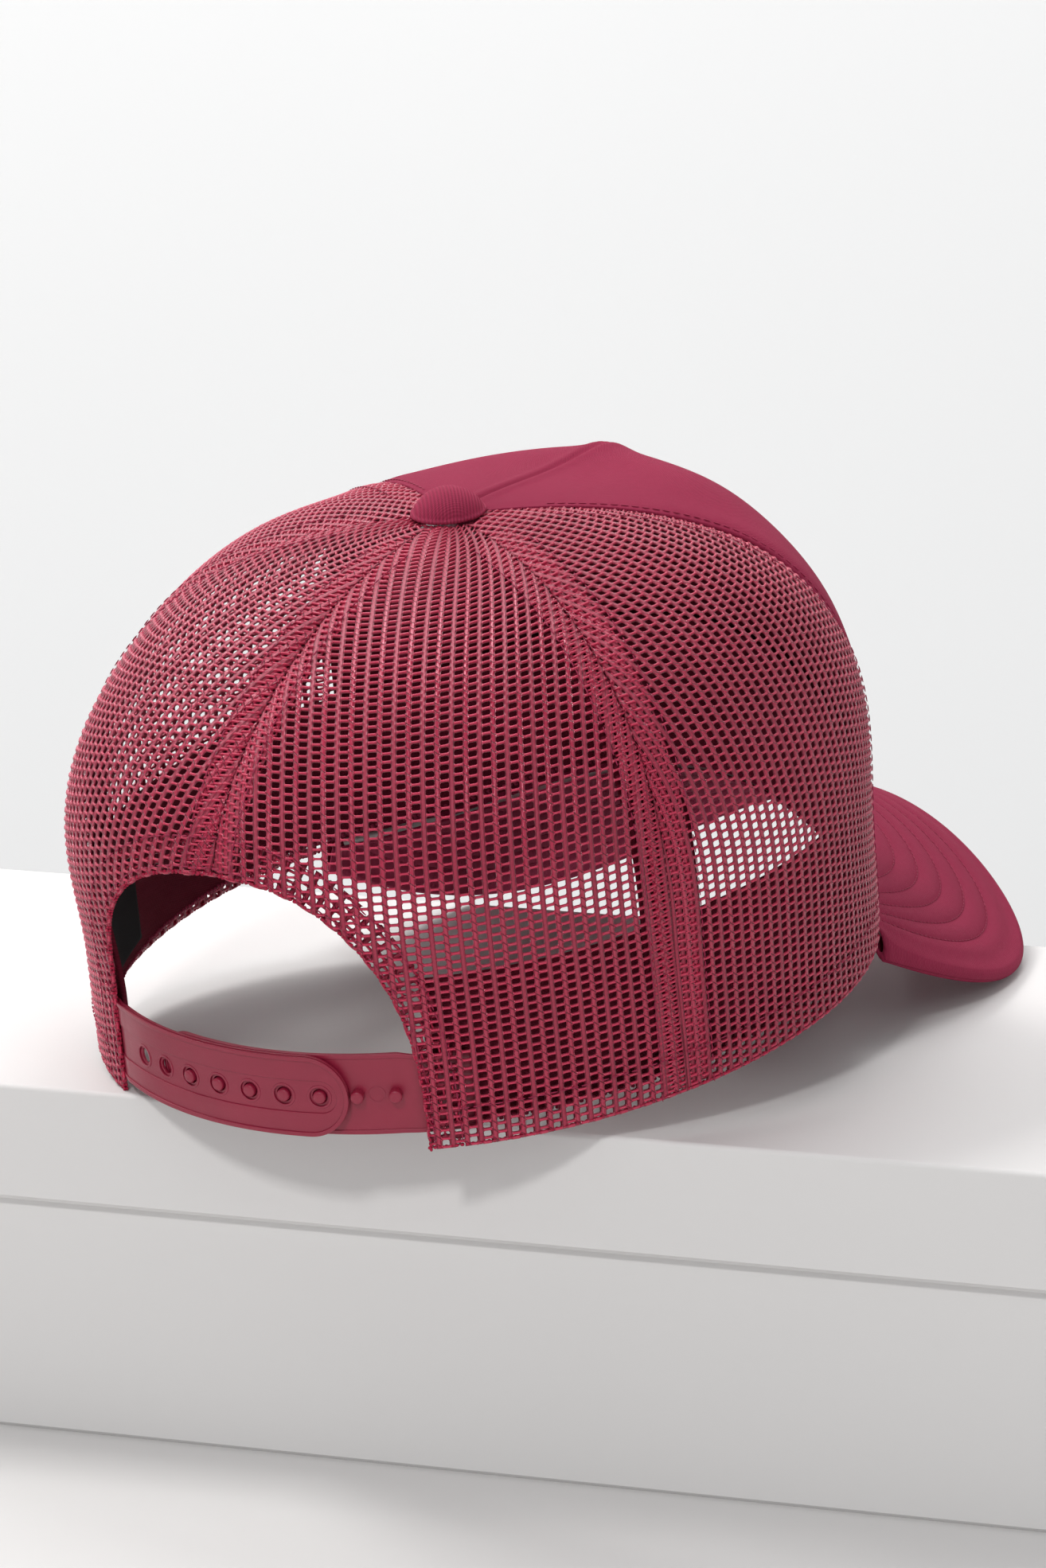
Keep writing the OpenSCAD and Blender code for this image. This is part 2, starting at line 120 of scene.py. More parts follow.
class Crown:
    """The crown's surface: phi is the angle from the rear centre, u the rise from rim to button."""

    grow = 1.9
    open_top = 0.985
    root_gap = 0.25
    corner_tuck = 2.2
    arch_power = 2.5
    edge_power = 2.37
    tip_drop = 5.5

    def __init__(self):
        s = bpy.context.scene.cap_sizes
        self.half_width = s.half_width / MM
        self.back = s.back / MM
        self.front = s.front / MM
        self.height = s.height / MM
        self.button_back = s.button_back / MM
        self.peak = s.peak / MM
        self.pillow = s.pillow / MM
        self.side_seam = math.degrees(s.side_seam)
        self.front_seam = math.degrees(s.front_seam)
        self.visor_angle = math.degrees(s.visor_angle)
        self.visor_length = s.visor_length / MM
        self.visor_bend = s.visor_bend / MM
        self.visor_slope = s.visor_slope
        self.opening_half = s.opening_half_width / MM
        self.opening_height = s.opening_height / MM
        self.corner_x = self.half_width * math.sin(math.radians(self.visor_angle))
        self.corner_y = self.front * math.cos(math.radians(self.visor_angle))
        self.reach = self.front + self.visor_length + self.corner_y
        steps = np.arange(0, 101)
        mids = np.radians(steps[:-1] + 0.5)
        pieces = np.pi / 180 * np.hypot(self.half_width * np.cos(mids), self.back * np.sin(mids))
        self.run_angle = steps.astype(float)
        self.run = np.concatenate([[0], np.cumsum(pieces)])

    def powers(self, phi):
        """Roundness of the plan, roundness of the profile and belly at each angle."""
        return mixed(phi, 2.35, 3.1, 2.0), mixed(phi, 3.85, 2.75, 5.5), mixed(phi, 0.064, -0.015, 0.03)

    def share(self, f):
        """How far each angle lies between its two seams."""
        a, b = self.side_seam, self.front_seam
        return np.where(f < a, f / a, np.where(f < b, (f - a) / (b - a), (f - b) / (180 - b)))

    def levels(self, phi, u):
        """How far out (1 at the rim) and how high (1 at the button) the cloth is at rise u."""
        n, m, _ = self.powers(phi)
        lift = np.radians(90 * power(np.clip(u, 0, 1), self.grow))
        return power(np.cos(lift), 2 / n), power(np.sin(lift), 2 / m)

    def spread(self, phi, u, least):
        """Distance from the button's axis at rise u, never less than a share of the rim's."""
        ahead = self.back if abs(phi) < 90 else self.front
        angle = math.radians(phi)
        reach = math.hypot(self.half_width * math.sin(angle), ahead * math.cos(angle) - self.button_back)
        return np.maximum(least, self.levels(phi, u)[0]) * reach

    def point(self, phi, u, off=0.0, detail=True):
        """Point of the cloth at angle phi and rise u, moved outwards by off; detail adds seams and waves."""
        phi, u, off = np.broadcast_arrays(*(np.asarray(v, float) for v in (phi, u, off)))
        belly = self.powers(phi)[2]
        rho, h = self.levels(phi, u)
        f = folded(phi)
        share = self.share(f)
        pillow = self.pillow * np.where(f < self.front_seam, 1, 0.4)
        pillow = pillow * np.sin(np.pi * share) * np.sin(np.pi * h)
        out = np.sin(np.pi * np.clip((h - 0.2) / 0.8, 0, 1)) ** 2
        c, s = np.cos(np.radians(phi)), np.sin(np.radians(phi))
        reach_y = np.where(c > 0, self.back, self.front) + off
        way = np.stack([-(self.half_width + off) * s, reach_y * c - self.button_back], -1)
        length = np.linalg.norm(way, axis=-1)
        if detail:
            pillow = pillow + self.soft_shape(phi, f, rho, h, length)
        scale = rho * (1 + belly * out) + pillow * np.sqrt(h) / length
        flat = way * scale[..., None]
        crest = self.peak * power(-c, 4) * np.exp(-(((rho - 0.737) / 0.22) ** 2)) * ease(1.2 * h)
        z = (self.height + off) * h + crest + 1.4 * pillow * (1 - rho)
        return np.stack([flat[..., 0], flat[..., 1] + self.button_back, z], -1)

    def soft_shape(self, phi, f, rho, h, length):
        """Valley along each seam and the slow waves of soft cloth, in millimetres outwards."""
        away = rho * length * np.pi / 180
        deep = np.zeros_like(f)
        for seam in (0.0, self.side_seam, self.front_seam):
            gap = np.abs(f - seam) * away
            amount = 1.0 if seam < self.front_seam else 0.55
            deep = deep - 1.45 * amount * np.exp(-((gap / 2.2) ** 2))
            deep = deep + 0.22 * amount * np.exp(-(((gap - 5.5) / 2.6) ** 2))
        band = ease(h * 5) * ease((1 - h) * 8 + 0.15)
        slow = 0.55 * np.sin(np.radians(phi * 5 + 40)) * np.sin(6.5 * h + 0.8)
        slow = slow + 0.4 * np.sin(np.radians(phi * 9 - 70) + 5 * h)
        slow = np.where(f < self.front_seam, slow, 0.35 * slow)
        return (deep + slow * ease(h * 3)) * band

    def rise(self, phi, z):
        """The rise u at height z."""
        m = self.powers(phi)[1]
        h = np.clip(np.asarray(z, float) / self.height, 0, 1)
        return np.power(np.degrees(np.arcsin(np.clip(power(h, m / 2), 0, 1))) / 90, 1 / self.grow)

    def visor_z(self, x, y):
        """Height of the bent and sloping visor's middle layer."""
        ahead = self.corner_y - y
        bend = self.visor_bend * (1 - 0.3 * ahead / 100)
        return bend * (np.cos(x / bend) - np.cos(self.corner_x / bend)) - np.tan(self.visor_slope) * ahead

    def rim_z(self, phi):
        """Height of the crown's lower edge, which climbs over the visor."""
        f = folded(phi)
        z = self.visor_z(self.half_width * np.sin(np.radians(f)), self.front * np.cos(np.radians(f)))
        return np.where(f <= self.visor_angle, 0, np.maximum(0, z))

    def angle_at(self, s):
        """Angle of a point s along the rim from the rear centre."""
        return np.sign(s) * np.interp(np.abs(s), self.run, self.run_angle)

    def arch(self, t, d):
        """Edge of the rear opening at t (-90 to 90), moved into the cloth by d, as run and height."""
        t = np.asarray(t, float)
        m = self.arch_power
        s = self.opening_half * np.sign(t) * power(np.abs(np.sin(np.radians(t))), 2 / m)
        z = self.opening_height * power(np.cos(np.radians(t)), 2 / m)
        across = np.sign(t) * power(np.abs(s) / self.opening_half, m - 1) / self.opening_half
        up = power(z / self.opening_height, m - 1) / self.opening_height
        size = np.maximum(1e-9, np.hypot(across, up))
        return s + d * (across / size), z + d * (up / size)

    def arch_point(self, t, d, off):
        s, z = self.arch(t, d)
        phi = self.angle_at(s)
        return self.point(phi, self.rise(phi, np.maximum(z, 0)), off)

    def visor_flat(self, v, w):
        """Plan of the visor: v from corner to corner, w from its root to its edge."""
        a = np.abs(v)
        clear = self.root_gap - self.corner_tuck * ease((a - 0.45) / 0.35)
        phi = np.radians(180 - a * (180 - self.visor_angle))
        root = np.stack([(self.half_width + clear) * np.sin(phi), (self.front + clear) * np.cos(phi)], -1)
        t = np.radians(a * 90)
        edge_x = self.corner_x * power(np.sin(t), 2 / self.edge_power) + 6.4 * np.sin(2 * t) + 0.8 * a
        edge_y = self.corner_y - self.reach * power(np.cos(t), 2 / self.edge_power) - 0.4 * a
        edge = np.stack([edge_x, edge_y], -1)
        q = root + (edge - root) * w[..., None]
        return np.where(v < 0, -1, 1) * q[..., 0], q[..., 1]

    def visor_point(self, v, w, off):
        """Point of the visor, moved off its middle layer."""
        v, w, off = np.broadcast_arrays(*(np.asarray(a, float) for a in (v, w, off)))
        x, y = self.visor_flat(v, w)
        fall_x = self.visor_z(x - 0.5, y) - self.visor_z(x + 0.5, y)
        fall_y = self.visor_z(x, y - 0.5) - self.visor_z(x, y + 0.5)
        n = np.stack([fall_x, fall_y, np.ones_like(x)], -1)
        n = n / np.linalg.norm(n, axis=-1, keepdims=True)
        z = self.visor_z(x, y) - self.tip_drop * w * w
        return np.stack([x, y, z], -1) + n * off[..., None]


# ---------------------------------------------------------------- mesh helpers


def finished(obj, body, *nodes, slot=None):
    """Smooth shading, its body and the solids it stands for; its material slot is not used."""
    for p in obj.data.polygons:
        p.use_smooth = True
    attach(obj, body)
    if nodes:
        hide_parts(*nodes)


def link(data, name, material=None):
    """An object of the scene that holds this data."""
    obj = bpy.data.objects.new(name, data)
    bpy.context.scene.collection.objects.link(obj)
    if material:
        data.materials.append(material)
    return obj


def grid_faces(n, m, base=0, flip=False):
    """Quads of an n by m grid of points numbered row by row from base."""
    i, j = np.meshgrid(np.arange(n - 1), np.arange(m - 1), indexing="ij")
    a = (base + i * m + j).ravel()
    q = np.stack([a, a + m, a + m + 1, a + 1], -1)
    return q[:, ::-1] if flip else q


def run_along(points):
    """Distance of each point from the first, along the row of points."""
    steps = np.linalg.norm(np.diff(np.asarray(points, float), axis=0), axis=1)
    return np.concatenate([[0], np.cumsum(steps)])


def slab_mesh(name, outer, inner, uv=None):
    """Closed cloth between an outer and an inner grid in the row frame, with a flat UV map in metres."""
    n, m = outer.shape[:2]
    k = n * m
    low = np.arange(n - 1) * m
    high = low + m - 1
    near = np.arange(m - 1)
    far = near + (n - 1) * m
    faces = [
        grid_faces(n, m),
        grid_faces(n, m, k, True),
        np.stack([low, low + k, low + m + k, low + m], -1),
        np.stack([high, high + m, high + m + k, high + k], -1),
        np.stack([near, near + 1, near + 1 + k, near + k], -1),
        np.stack([far, far + k, far + 1 + k, far + 1], -1),
    ]
    points = np.concatenate([outer.reshape(-1, 3), inner.reshape(-1, 3)])
    mesh = bpy.data.meshes.new(name)
    mesh.from_pydata(points.tolist(), [], np.concatenate(faces).tolist())
    if uv is None:
        uv = np.stack(np.meshgrid(run_along(outer[:, m // 2]), run_along(outer[n // 2]), indexing="ij"), -1)
    flat = np.concatenate([uv.reshape(-1, 2), uv.reshape(-1, 2)])
    layer = mesh.uv_layers.new(name="UVMap")
    corner = np.zeros(len(mesh.loops), int)
    mesh.loops.foreach_get("vertex_index", corner)
    layer.data.foreach_set("uv", flat[corner].astype(np.float32).ravel())
    mesh.update()
    return mesh


def weld(mesh):
    """Joins the points that meet, with every face turned outwards."""
    bm = bmesh.new()
    bm.from_mesh(mesh)
    bmesh.ops.remove_doubles(bm, verts=bm.verts, dist=1e-6)
    bmesh.ops.recalc_face_normals(bm, faces=bm.faces)
    bm.to_mesh(mesh)
    bm.free()


def flat_area(uv):
    """Area of a grid's flat cut, in square metres."""
    a, b, c, d = uv[:-1, :-1], uv[1:, :-1], uv[1:, 1:], uv[:-1, 1:]
    u, v = c - a, d - b
    return float(np.abs(u[..., 0] * v[..., 1] - u[..., 1] * v[..., 0]).sum() / 2)


# ---------------------------------------------------------------- node helpers


def feed(tree, target, value):
    """Wires an output to a socket, or sets the socket's value."""
    if hasattr(value, "is_output"):
        tree.links.new(value, target)
    else:
        target.default_value = value


def add(tree, kind, inputs=None, label="", **values):
    """A node with its properties set and then its inputs fed."""
    node = tree.nodes.new(kind)
    node.label = label
    for name, value in values.items():
        setattr(node, name, value)
    for name, value in (inputs or {}).items():
        feed(tree, node.inputs[name], value)
    return node


def math_node(tree, operation, *values, clamp=False):
    """Output of a maths node."""
    inputs = dict(enumerate(values))
    return add(tree, "ShaderNodeMath", inputs, operation=operation, use_clamp=clamp).outputs[0]


def plus(tree, a, b, clamp=False):
    return math_node(tree, "ADD", a, b, clamp=clamp)


def minus(tree, a, b):
    return math_node(tree, "SUBTRACT", a, b)


def times(tree, a, b, clamp=False):
    return math_node(tree, "MULTIPLY", a, b, clamp=clamp)


def times_plus(tree, a, b, c, clamp=False):
    """a times b, plus c."""
    return math_node(tree, "MULTIPLY_ADD", a, b, c, clamp=clamp)


def vector_node(tree, operation, **values):
    """Output of a vector maths node; a and b are its vectors and scale its number."""
    sockets = {"a": 0, "b": 1, "scale": "Scale"}
    inputs = {sockets[name]: value for name, value in values.items()}
    return add(tree, "ShaderNodeVectorMath", inputs, operation=operation).outputs["Vector"]


def vector_of(tree, x, y, z=0.0):
    return add(tree, "ShaderNodeCombineXYZ", {0: x, 1: y, 2: z}).outputs[0]


def parts_of(tree, vector):
    """The x, y and z of a vector."""
    return add(tree, "ShaderNodeSeparateXYZ", {0: vector}).outputs


def new_tree(name, objects, numbers):
    """A geometry tree with its named inputs: its group input, and the tree."""
    tree = bpy.data.node_groups.new(name, "GeometryNodeTree")
    face = tree.interface
    face.new_socket("Geometry", in_out="INPUT", socket_type="NodeSocketGeometry")
    for text in objects:
        face.new_socket(text, in_out="INPUT", socket_type="NodeSocketObject")
    for text, default in numbers:
        face.new_socket(text, in_out="INPUT", socket_type="NodeSocketFloat").default_value = default
    face.new_socket("Material", in_out="INPUT", socket_type="NodeSocketMaterial")
    face.new_socket("Geometry", in_out="OUTPUT", socket_type="NodeSocketGeometry")
    return tree, add(tree, "NodeGroupInput")


def paint_and_end(tree, group, geometry):
    """Last nodes of a tree: its material and its output."""
    inputs = {"Geometry": geometry, "Material": group.outputs["Material"]}
    painted = add(tree, "GeometryNodeSetMaterial", inputs)
    add(tree, "NodeGroupOutput", {"Geometry": painted.outputs["Geometry"]})


def run_tree(obj, tree, inputs):
    """Runs a geometry node tree on an object and returns the result as a plain mesh."""
    modifier = obj.modifiers.new(tree.name, "NODES")
    modifier.node_group = tree
    for item in tree.interface.items_tree:
        if item.in_out == "INPUT" and item.name in inputs:
            modifier[item.identifier] = inputs[item.name]
    bpy.context.view_layer.update()
    evaluated = obj.evaluated_get(bpy.context.evaluated_depsgraph_get())
    mesh = bpy.data.meshes.new_from_object(evaluated)
    obj.modifiers.remove(modifier)
    return mesh


# ---------------------------------------------------------------- knitted mesh


def knit_tree():
    """Lays knitted cells on a flat plan of the sheet, trims them at its edge and wraps them onto it."""
    tree = bpy.data.node_groups.get("Knitted mesh")
    if tree:
        return tree
    numbers = (("Column pitch", 0.00307), ("Row pitch", 0.00197), ("Slide", 0.0), ("Thickness", 1.0))
    tree, group = new_tree("Knitted mesh", ["Cell"], numbers)
    sheet, slide = group.outputs["Geometry"], group.outputs["Slide"]
    column, row = group.outputs["Column pitch"], group.outputs["Row pitch"]
    spare_cells = 4.0
    reach_past_cut = 0.62
    cell_weld, seam_weld, on_cut = 0.00004, 0.00003, 0.000003

    def named(name, kind):
        node = add(tree, "GeometryNodeInputNamedAttribute", {"Name": name}, data_type=kind)
        return node.outputs["Attribute"]

    def moved(geometry, label, **place):
        inputs = {"Geometry": geometry, **{name.title(): value for name, value in place.items()}}
        return add(tree, "GeometryNodeSetPosition", inputs, label).outputs["Geometry"]

    def compared(operation, a, b):
        node = add(tree, "FunctionNodeCompare", {0: a, 1: b}, data_type="FLOAT", operation=operation)
        return node.outputs[0]

    def without(geometry, selection, domain):
        inputs = {"Geometry": geometry, "Selection": selection}
        return add(tree, "GeometryNodeDeleteGeometry", inputs, domain=domain).outputs["Geometry"]

    def merged(geometry, distance):
        inputs = {"Geometry": geometry, "Distance": distance}
        return add(tree, "GeometryNodeMergeByDistance", inputs).outputs["Geometry"]

    def here():
        return add(tree, "GeometryNodeInputPosition").outputs[0]

    flat = named("flat", "FLOAT_VECTOR")
    laid = moved(sheet, "Lay flat", position=flat)
    inputs = {"Geometry": laid, "Selection": named("inside", "BOOLEAN")}
    shape = add(tree, "GeometryNodeSeparateGeometry", inputs, "Cut line", domain="FACE").outputs["Selection"]
    box = add(tree, "GeometryNodeBoundBox", {"Geometry": shape})
    low, high = box.outputs["Min"], box.outputs["Max"]
    size = parts_of(tree, vector_node(tree, "SUBTRACT", a=high, b=low))
    across, along = (
        plus(tree, math_node(tree, "CEIL", math_node(tree, "DIVIDE", size[k], pitch)), spare_cells)
        for k, pitch in enumerate((column, row))
    )
    inputs = {
        "Vertices X": plus(tree, across, 1.0),
        "Vertices Y": plus(tree, along, 1.0),
        "Size X": times(tree, across, column),
        "Size Y": times(tree, along, row),
    }
    dots = add(tree, "GeometryNodeMeshGrid", inputs).outputs["Mesh"]
    middle = vector_node(tree, "SCALE", a=vector_node(tree, "ADD", a=high, b=low), scale=0.5)
    dots = moved(dots, "Over the plan", offset=middle)
    spot = parts_of(tree, here())
    number = math_node(tree, "ROUND", math_node(tree, "DIVIDE", spot[0], column))
    odd = math_node(tree, "FLOORED_MODULO", number, 2.0)
    level = math_node(tree, "ROUND", math_node(tree, "DIVIDE", spot[1], row))
    height = times(tree, plus(tree, level, times(tree, odd, 0.5)), row)
    knot = vector_of(tree, plus(tree, times(tree, number, column), slide), plus(tree, height, slide))
    dots = moved(dots, "Stagger the columns", position=knot)
    near = add(tree, "GeometryNodeProximity", {0: shape}, target_element="FACES").outputs["Distance"]
    far = compared("GREATER_THAN", near, times(tree, column, reach_past_cut))
    dots = without(dots, far, "POINT")
    cell = add(tree, "GeometryNodeObjectInfo", {"Object": group.outputs["Cell"]}).outputs["Geometry"]
    copies = add(tree, "GeometryNodeInstanceOnPoints", {"Points": dots, "Instance": cell})
    real = add(tree, "GeometryNodeRealizeInstances", {"Geometry": copies.outputs["Instances"]})
    net = merged(real.outputs["Geometry"], cell_weld)
    at = parts_of(tree, here())
    on_plan = vector_of(tree, at[0], at[1])
    inputs = {0: shape, "Sample Position": on_plan}
    closest = add(tree, "GeometryNodeProximity", inputs, target_element="FACES")
    within = compared("LESS_THAN", closest.outputs["Distance"], on_cut)
    full = times(tree, times(tree, at[2], within), group.outputs["Thickness"])
    pattern = vector_node(tree, "SUBTRACT", a=on_plan, b=vector_of(tree, slide, slide))
    stored = (("UVMap", "FLOAT2", "CORNER", pattern), ("kept", "FLOAT", "POINT", within))
    for name, kind, domain, value in stored:
        inputs = {"Geometry": net, "Name": name, "Value": value}
        node = add(tree, "GeometryNodeStoreNamedAttribute", inputs, data_type=kind, domain=domain)
        net = node.outputs["Geometry"]

    def sampled(value):
        inputs = {"Mesh": sheet, "Value": value, "UV Map": flat, "Sample UV": closest.outputs["Position"]}
        return add(tree, "GeometryNodeSampleUVSurface", inputs, data_type="FLOAT_VECTOR").outputs["Value"]

    outward = vector_node(tree, "SCALE", a=sampled(named("outward", "FLOAT_VECTOR")), scale=full)
    on_crown = vector_node(tree, "ADD", a=sampled(here()), b=outward)
    net = moved(net, "Wrap onto the crown", position=on_crown)
    outside = compared("LESS_THAN", named("kept", "FLOAT"), 0.01)
    net = merged(without(net, outside, "FACE"), seam_weld)
    paint_and_end(tree, group, net)
    return tree


def knit_cell():
    """One hole of the knitted mesh with the yarn round it; neighbours share its edge points."""
    cell = bpy.data.objects.get("knit_cell")
    if cell:
        return cell
    sizes = bpy.context.scene.cap_sizes
    p, r = sizes.column_pitch / 2, sizes.row_pitch / 2
    hx, hy = sizes.hole_width / 2, sizes.hole_height / 2
    a, b = 0.74 * hx, 0.6 * hy
    rim = [(-p, -r), (-a, -r), (a, -r), (p, -r), (p, 0), (p, r), (a, r), (-a, r), (-p, r), (-p, 0)]
    hole = [(-a, -hy), (a, -hy), (hx, -b), (hx, b), (a, hy), (-a, hy), (-hx, b), (-hx, -b)]
    rim_up = [0.10, 0.44, 0.44, 0.10, 0.10, 0.10, 0.44, 0.44, 0.10, 0.10]
    hole_up = [0.30, 0.30, 0.14, 0.14, 0.30, 0.30, 0.14, 0.14]
    top = [(x, y, z * MM) for (x, y), z in zip(rim + hole, rim_up + hole_up)]
    low = [(x, y, -0.35 * z * MM - 0.00016) for (x, y), z in zip(rim + hole, rim_up + hole_up)]
    faces = [
        (1, 2, 11, 10), (2, 3, 12, 11), (3, 4, 12), (4, 13, 12), (4, 5, 13), (5, 6, 14, 13),
        (6, 7, 15, 14), (7, 8, 16, 15), (8, 9, 16), (9, 17, 16), (9, 0, 17), (0, 1, 10, 17),
    ]  # numbered round the rim, then round the hole
    k = len(top)
    under = [tuple(i + k for i in reversed(f)) for f in faces]
    wall = [(10 + i, 10 + (i + 1) % 8, 10 + (i + 1) % 8 + k, 10 + i + k) for i in range(8)]
    mesh = bpy.data.meshes.new("knit_cell")
    mesh.from_pydata(top + low, [], faces + under + wall)
    mesh.update()
    cell = link(mesh, "knit_cell")
    cell.hide_render = True
    return cell


def plan_sheet(points, flat):
    """A sheet for the knitting tree from a grid and its flat cut, each one strip wider all round."""
    n, m = points.shape[:2]
    mesh = bpy.data.meshes.new("plan")
    mesh.from_pydata(to_row(points).reshape(-1, 3).tolist(), [], grid_faces(n, m).tolist())
    at = mesh.attributes.new("flat", "FLOAT_VECTOR", "POINT")
    plan = np.concatenate([flat.reshape(-1, 2), np.zeros((n * m, 1))], 1)
    at.data.foreach_set("vector", plan.astype(np.float32).ravel())
    outward = turn_to_row(outward_of(points, n // 2, m // 2))
    at = mesh.attributes.new("outward", "FLOAT_VECTOR", "POINT")
    at.data.foreach_set("vector", outward.reshape(-1, 3).astype(np.float32).ravel())
    inside = np.zeros((n - 1, m - 1), bool)
    inside[1:-1, 1:-1] = True
    at = mesh.attributes.new("inside", "BOOLEAN", "FACE")
    at.data.foreach_set("value", inside.ravel())
    return link(mesh, "plan"), flat_area(flat[1:-1, 1:-1])


def normals_of(points):
    """Direction square to the cloth at each point of a grid, from its neighbours."""
    n = np.cross(np.gradient(points, axis=0), np.gradient(points, axis=1))
    return n / np.maximum(1e-12, np.linalg.norm(n, axis=-1, keepdims=True))


def outward_of(points, i, j):
    """Directions out of the cloth at a grid's points, away from the crown's middle at point i, j."""
    n = normals_of(points)
    return -n if n[i, j] @ points[i, j] < 0 else n


def widened(grid, axis, share):
    """The grid with one more row beyond each end of an axis, a share of a step away."""
    g = np.moveaxis(grid, axis, 0)
    g = np.concatenate([g[:1], g, g[-1:]], 0)
    g[0] -= (g[2] - g[1]) * share
    g[-1] += (g[-2] - g[-3]) * share
    return np.moveaxis(g, 0, axis)


def knitted(sheets, name, slides):
    """Runs the knitting tree on each plan sheet and joins the results into one piece."""
    sizes = bpy.context.scene.cap_sizes
    yarn = finish("Knitted yarn")
    bm = bmesh.new()
    for sheet, slide in zip(sheets, slides):
        inputs = {
            "Cell": knit_cell(),
            "Column pitch": sizes.column_pitch,
            "Row pitch": sizes.row_pitch,
            "Slide": slide * MM,
            "Material": yarn,
        }
        mesh = run_tree(sheet, knit_tree(), inputs)
        bm.from_mesh(mesh)
        bpy.data.meshes.remove(mesh)
        bpy.data.objects.remove(sheet)
    bmesh.ops.dissolve_degenerate(bm, dist=0.000005, edges=bm.edges)
    bmesh.ops.holes_fill(bm, edges=[e for e in bm.edges if len(e.link_faces) == 1], sides=0)
    bmesh.ops.triangulate(bm, faces=[f for f in bm.faces if len(f.verts) > 4])
    bmesh.ops.delete(bm, geom=[v for v in bm.verts if not v.link_faces], context="VERTS")
    bmesh.ops.recalc_face_normals(bm, faces=bm.faces)
    mesh = bpy.data.meshes.new(name)
    bm.to_mesh(mesh)
    bm.free()
    mesh.attributes.remove(mesh.attributes["kept"])
    mesh.materials.clear()
    return link(mesh, name, yarn)


class Panel:
    """Flat plan of the crown between two seams: across from its middle line, along from the rim."""

    pad = 3.0
    top = 0.9965

    def __init__(self, crown, start, end):
        self.phis = np.linspace(start - self.pad, end + self.pad, 81)
        self.us = np.linspace(0, self.top, 240)
        base = crown.point(self.phis[:, None], self.us[None, :], 0.0, detail=False)
        run = np.linalg.norm(np.diff(base, axis=1), axis=2)
        self.climb = np.concatenate([np.zeros((len(self.phis), 1)), np.cumsum(run, 1)], 1)
        self.ys = np.linspace(0, self.climb.max(), 150)
        levels = np.stack([np.interp(self.ys, c, self.us) for c in self.climb])
        ring = crown.point(self.phis[:, None], levels, 0.0, detail=False)
        wide = np.linalg.norm(np.diff(ring, axis=0), axis=2)
        self.across = np.concatenate([np.zeros((1, len(self.ys))), np.cumsum(wide, 0)], 0)
        self.across -= self.across[len(self.phis) // 2]

    def strip_at(self, phi):
        """Number of the strip that holds each angle, and how far across it the angle lies."""
        k = (phi - self.phis[0]) / (self.phis[1] - self.phis[0])
        i = np.clip(k.astype(int), 0, len(self.phis) - 2)
        return i, k - i

    def read(self, phi, value, keys, table):
        """Looks a value up in the table's strips on either side of each angle."""
        phi, value = np.broadcast_arrays(np.asarray(phi, float), np.asarray(value, float))
        out = np.empty(phi.shape)
        i, f = self.strip_at(phi)
        for idx in np.ndindex(phi.shape):
            a, b = (np.interp(value[idx], keys, table[k]) for k in (i[idx], i[idx] + 1))
            out[idx] = a + (b - a) * f[idx]
        return out

    def y_of(self, phi, u):
        """Height along the crown from the rim."""
        return self.read(phi, u, self.us, self.climb)

    def x_of(self, phi, y):
        """Distance across from the panel's middle line at height y."""
        return self.read(phi, y, self.ys, self.across)

    def phi_at(self, x, y):
        """Angle of the point x across at height y."""
        j = np.clip(y / self.ys[-1] * (len(self.ys) - 1), 0, len(self.ys) - 1.001)
        lo = j.astype(int)
        out = np.empty(np.shape(x))
        for idx in np.ndindex(np.shape(x)):
            a, f = lo[idx], j[idx] - lo[idx]
            line = self.across[:, a] * (1 - f) + self.across[:, a + 1] * f
            out[idx] = np.interp(x[idx], line, self.phis)
        return out

    def u_at(self, phi, y):
        """Rise of the point at angle phi and height y."""
        out = np.empty(np.shape(phi))
        i, f = self.strip_at(phi)
        for idx in np.ndindex(np.shape(phi)):
            line = self.climb[i[idx]] * (1 - f[idx]) + self.climb[i[idx] + 1] * f[idx]
            out[idx] = np.interp(y[idx], line, self.us)
        return out


def panel_plan(crown, start, end, lows, angles, off, rows=56):
    """Plan sheet of a whole mesh panel, its cut area and its flat cut."""
    panel = Panel(crown, start, end)
    edge = (end - start) * 0.02
    hang = 3
    phis = np.concatenate([[start - edge], angles, [end + edge]])
    low = np.concatenate([[lows[0]], lows, [lows[-1]]])
    u0 = crown.rise(phis, low)
    u = u0[:, None] + (crown.open_top - u0[:, None]) * np.linspace(0, 1, rows)[None, :]
    u = np.concatenate([u[:, :1], u, u[:, -1:] + 0.004], 1)
    phi = np.repeat(phis[:, None], u.shape[1], 1)
    pts = crown.point(phi, u, off)
    y = panel.y_of(phi, u)
    x = panel.x_of(phi, y)
    pts[:, 0, 2] -= hang
    y[:, 0] -= hang
    x[:, 0] = x[:, 1]
    flat = np.stack([x, y], -1) * MM
    return *plan_sheet(pts, flat), flat


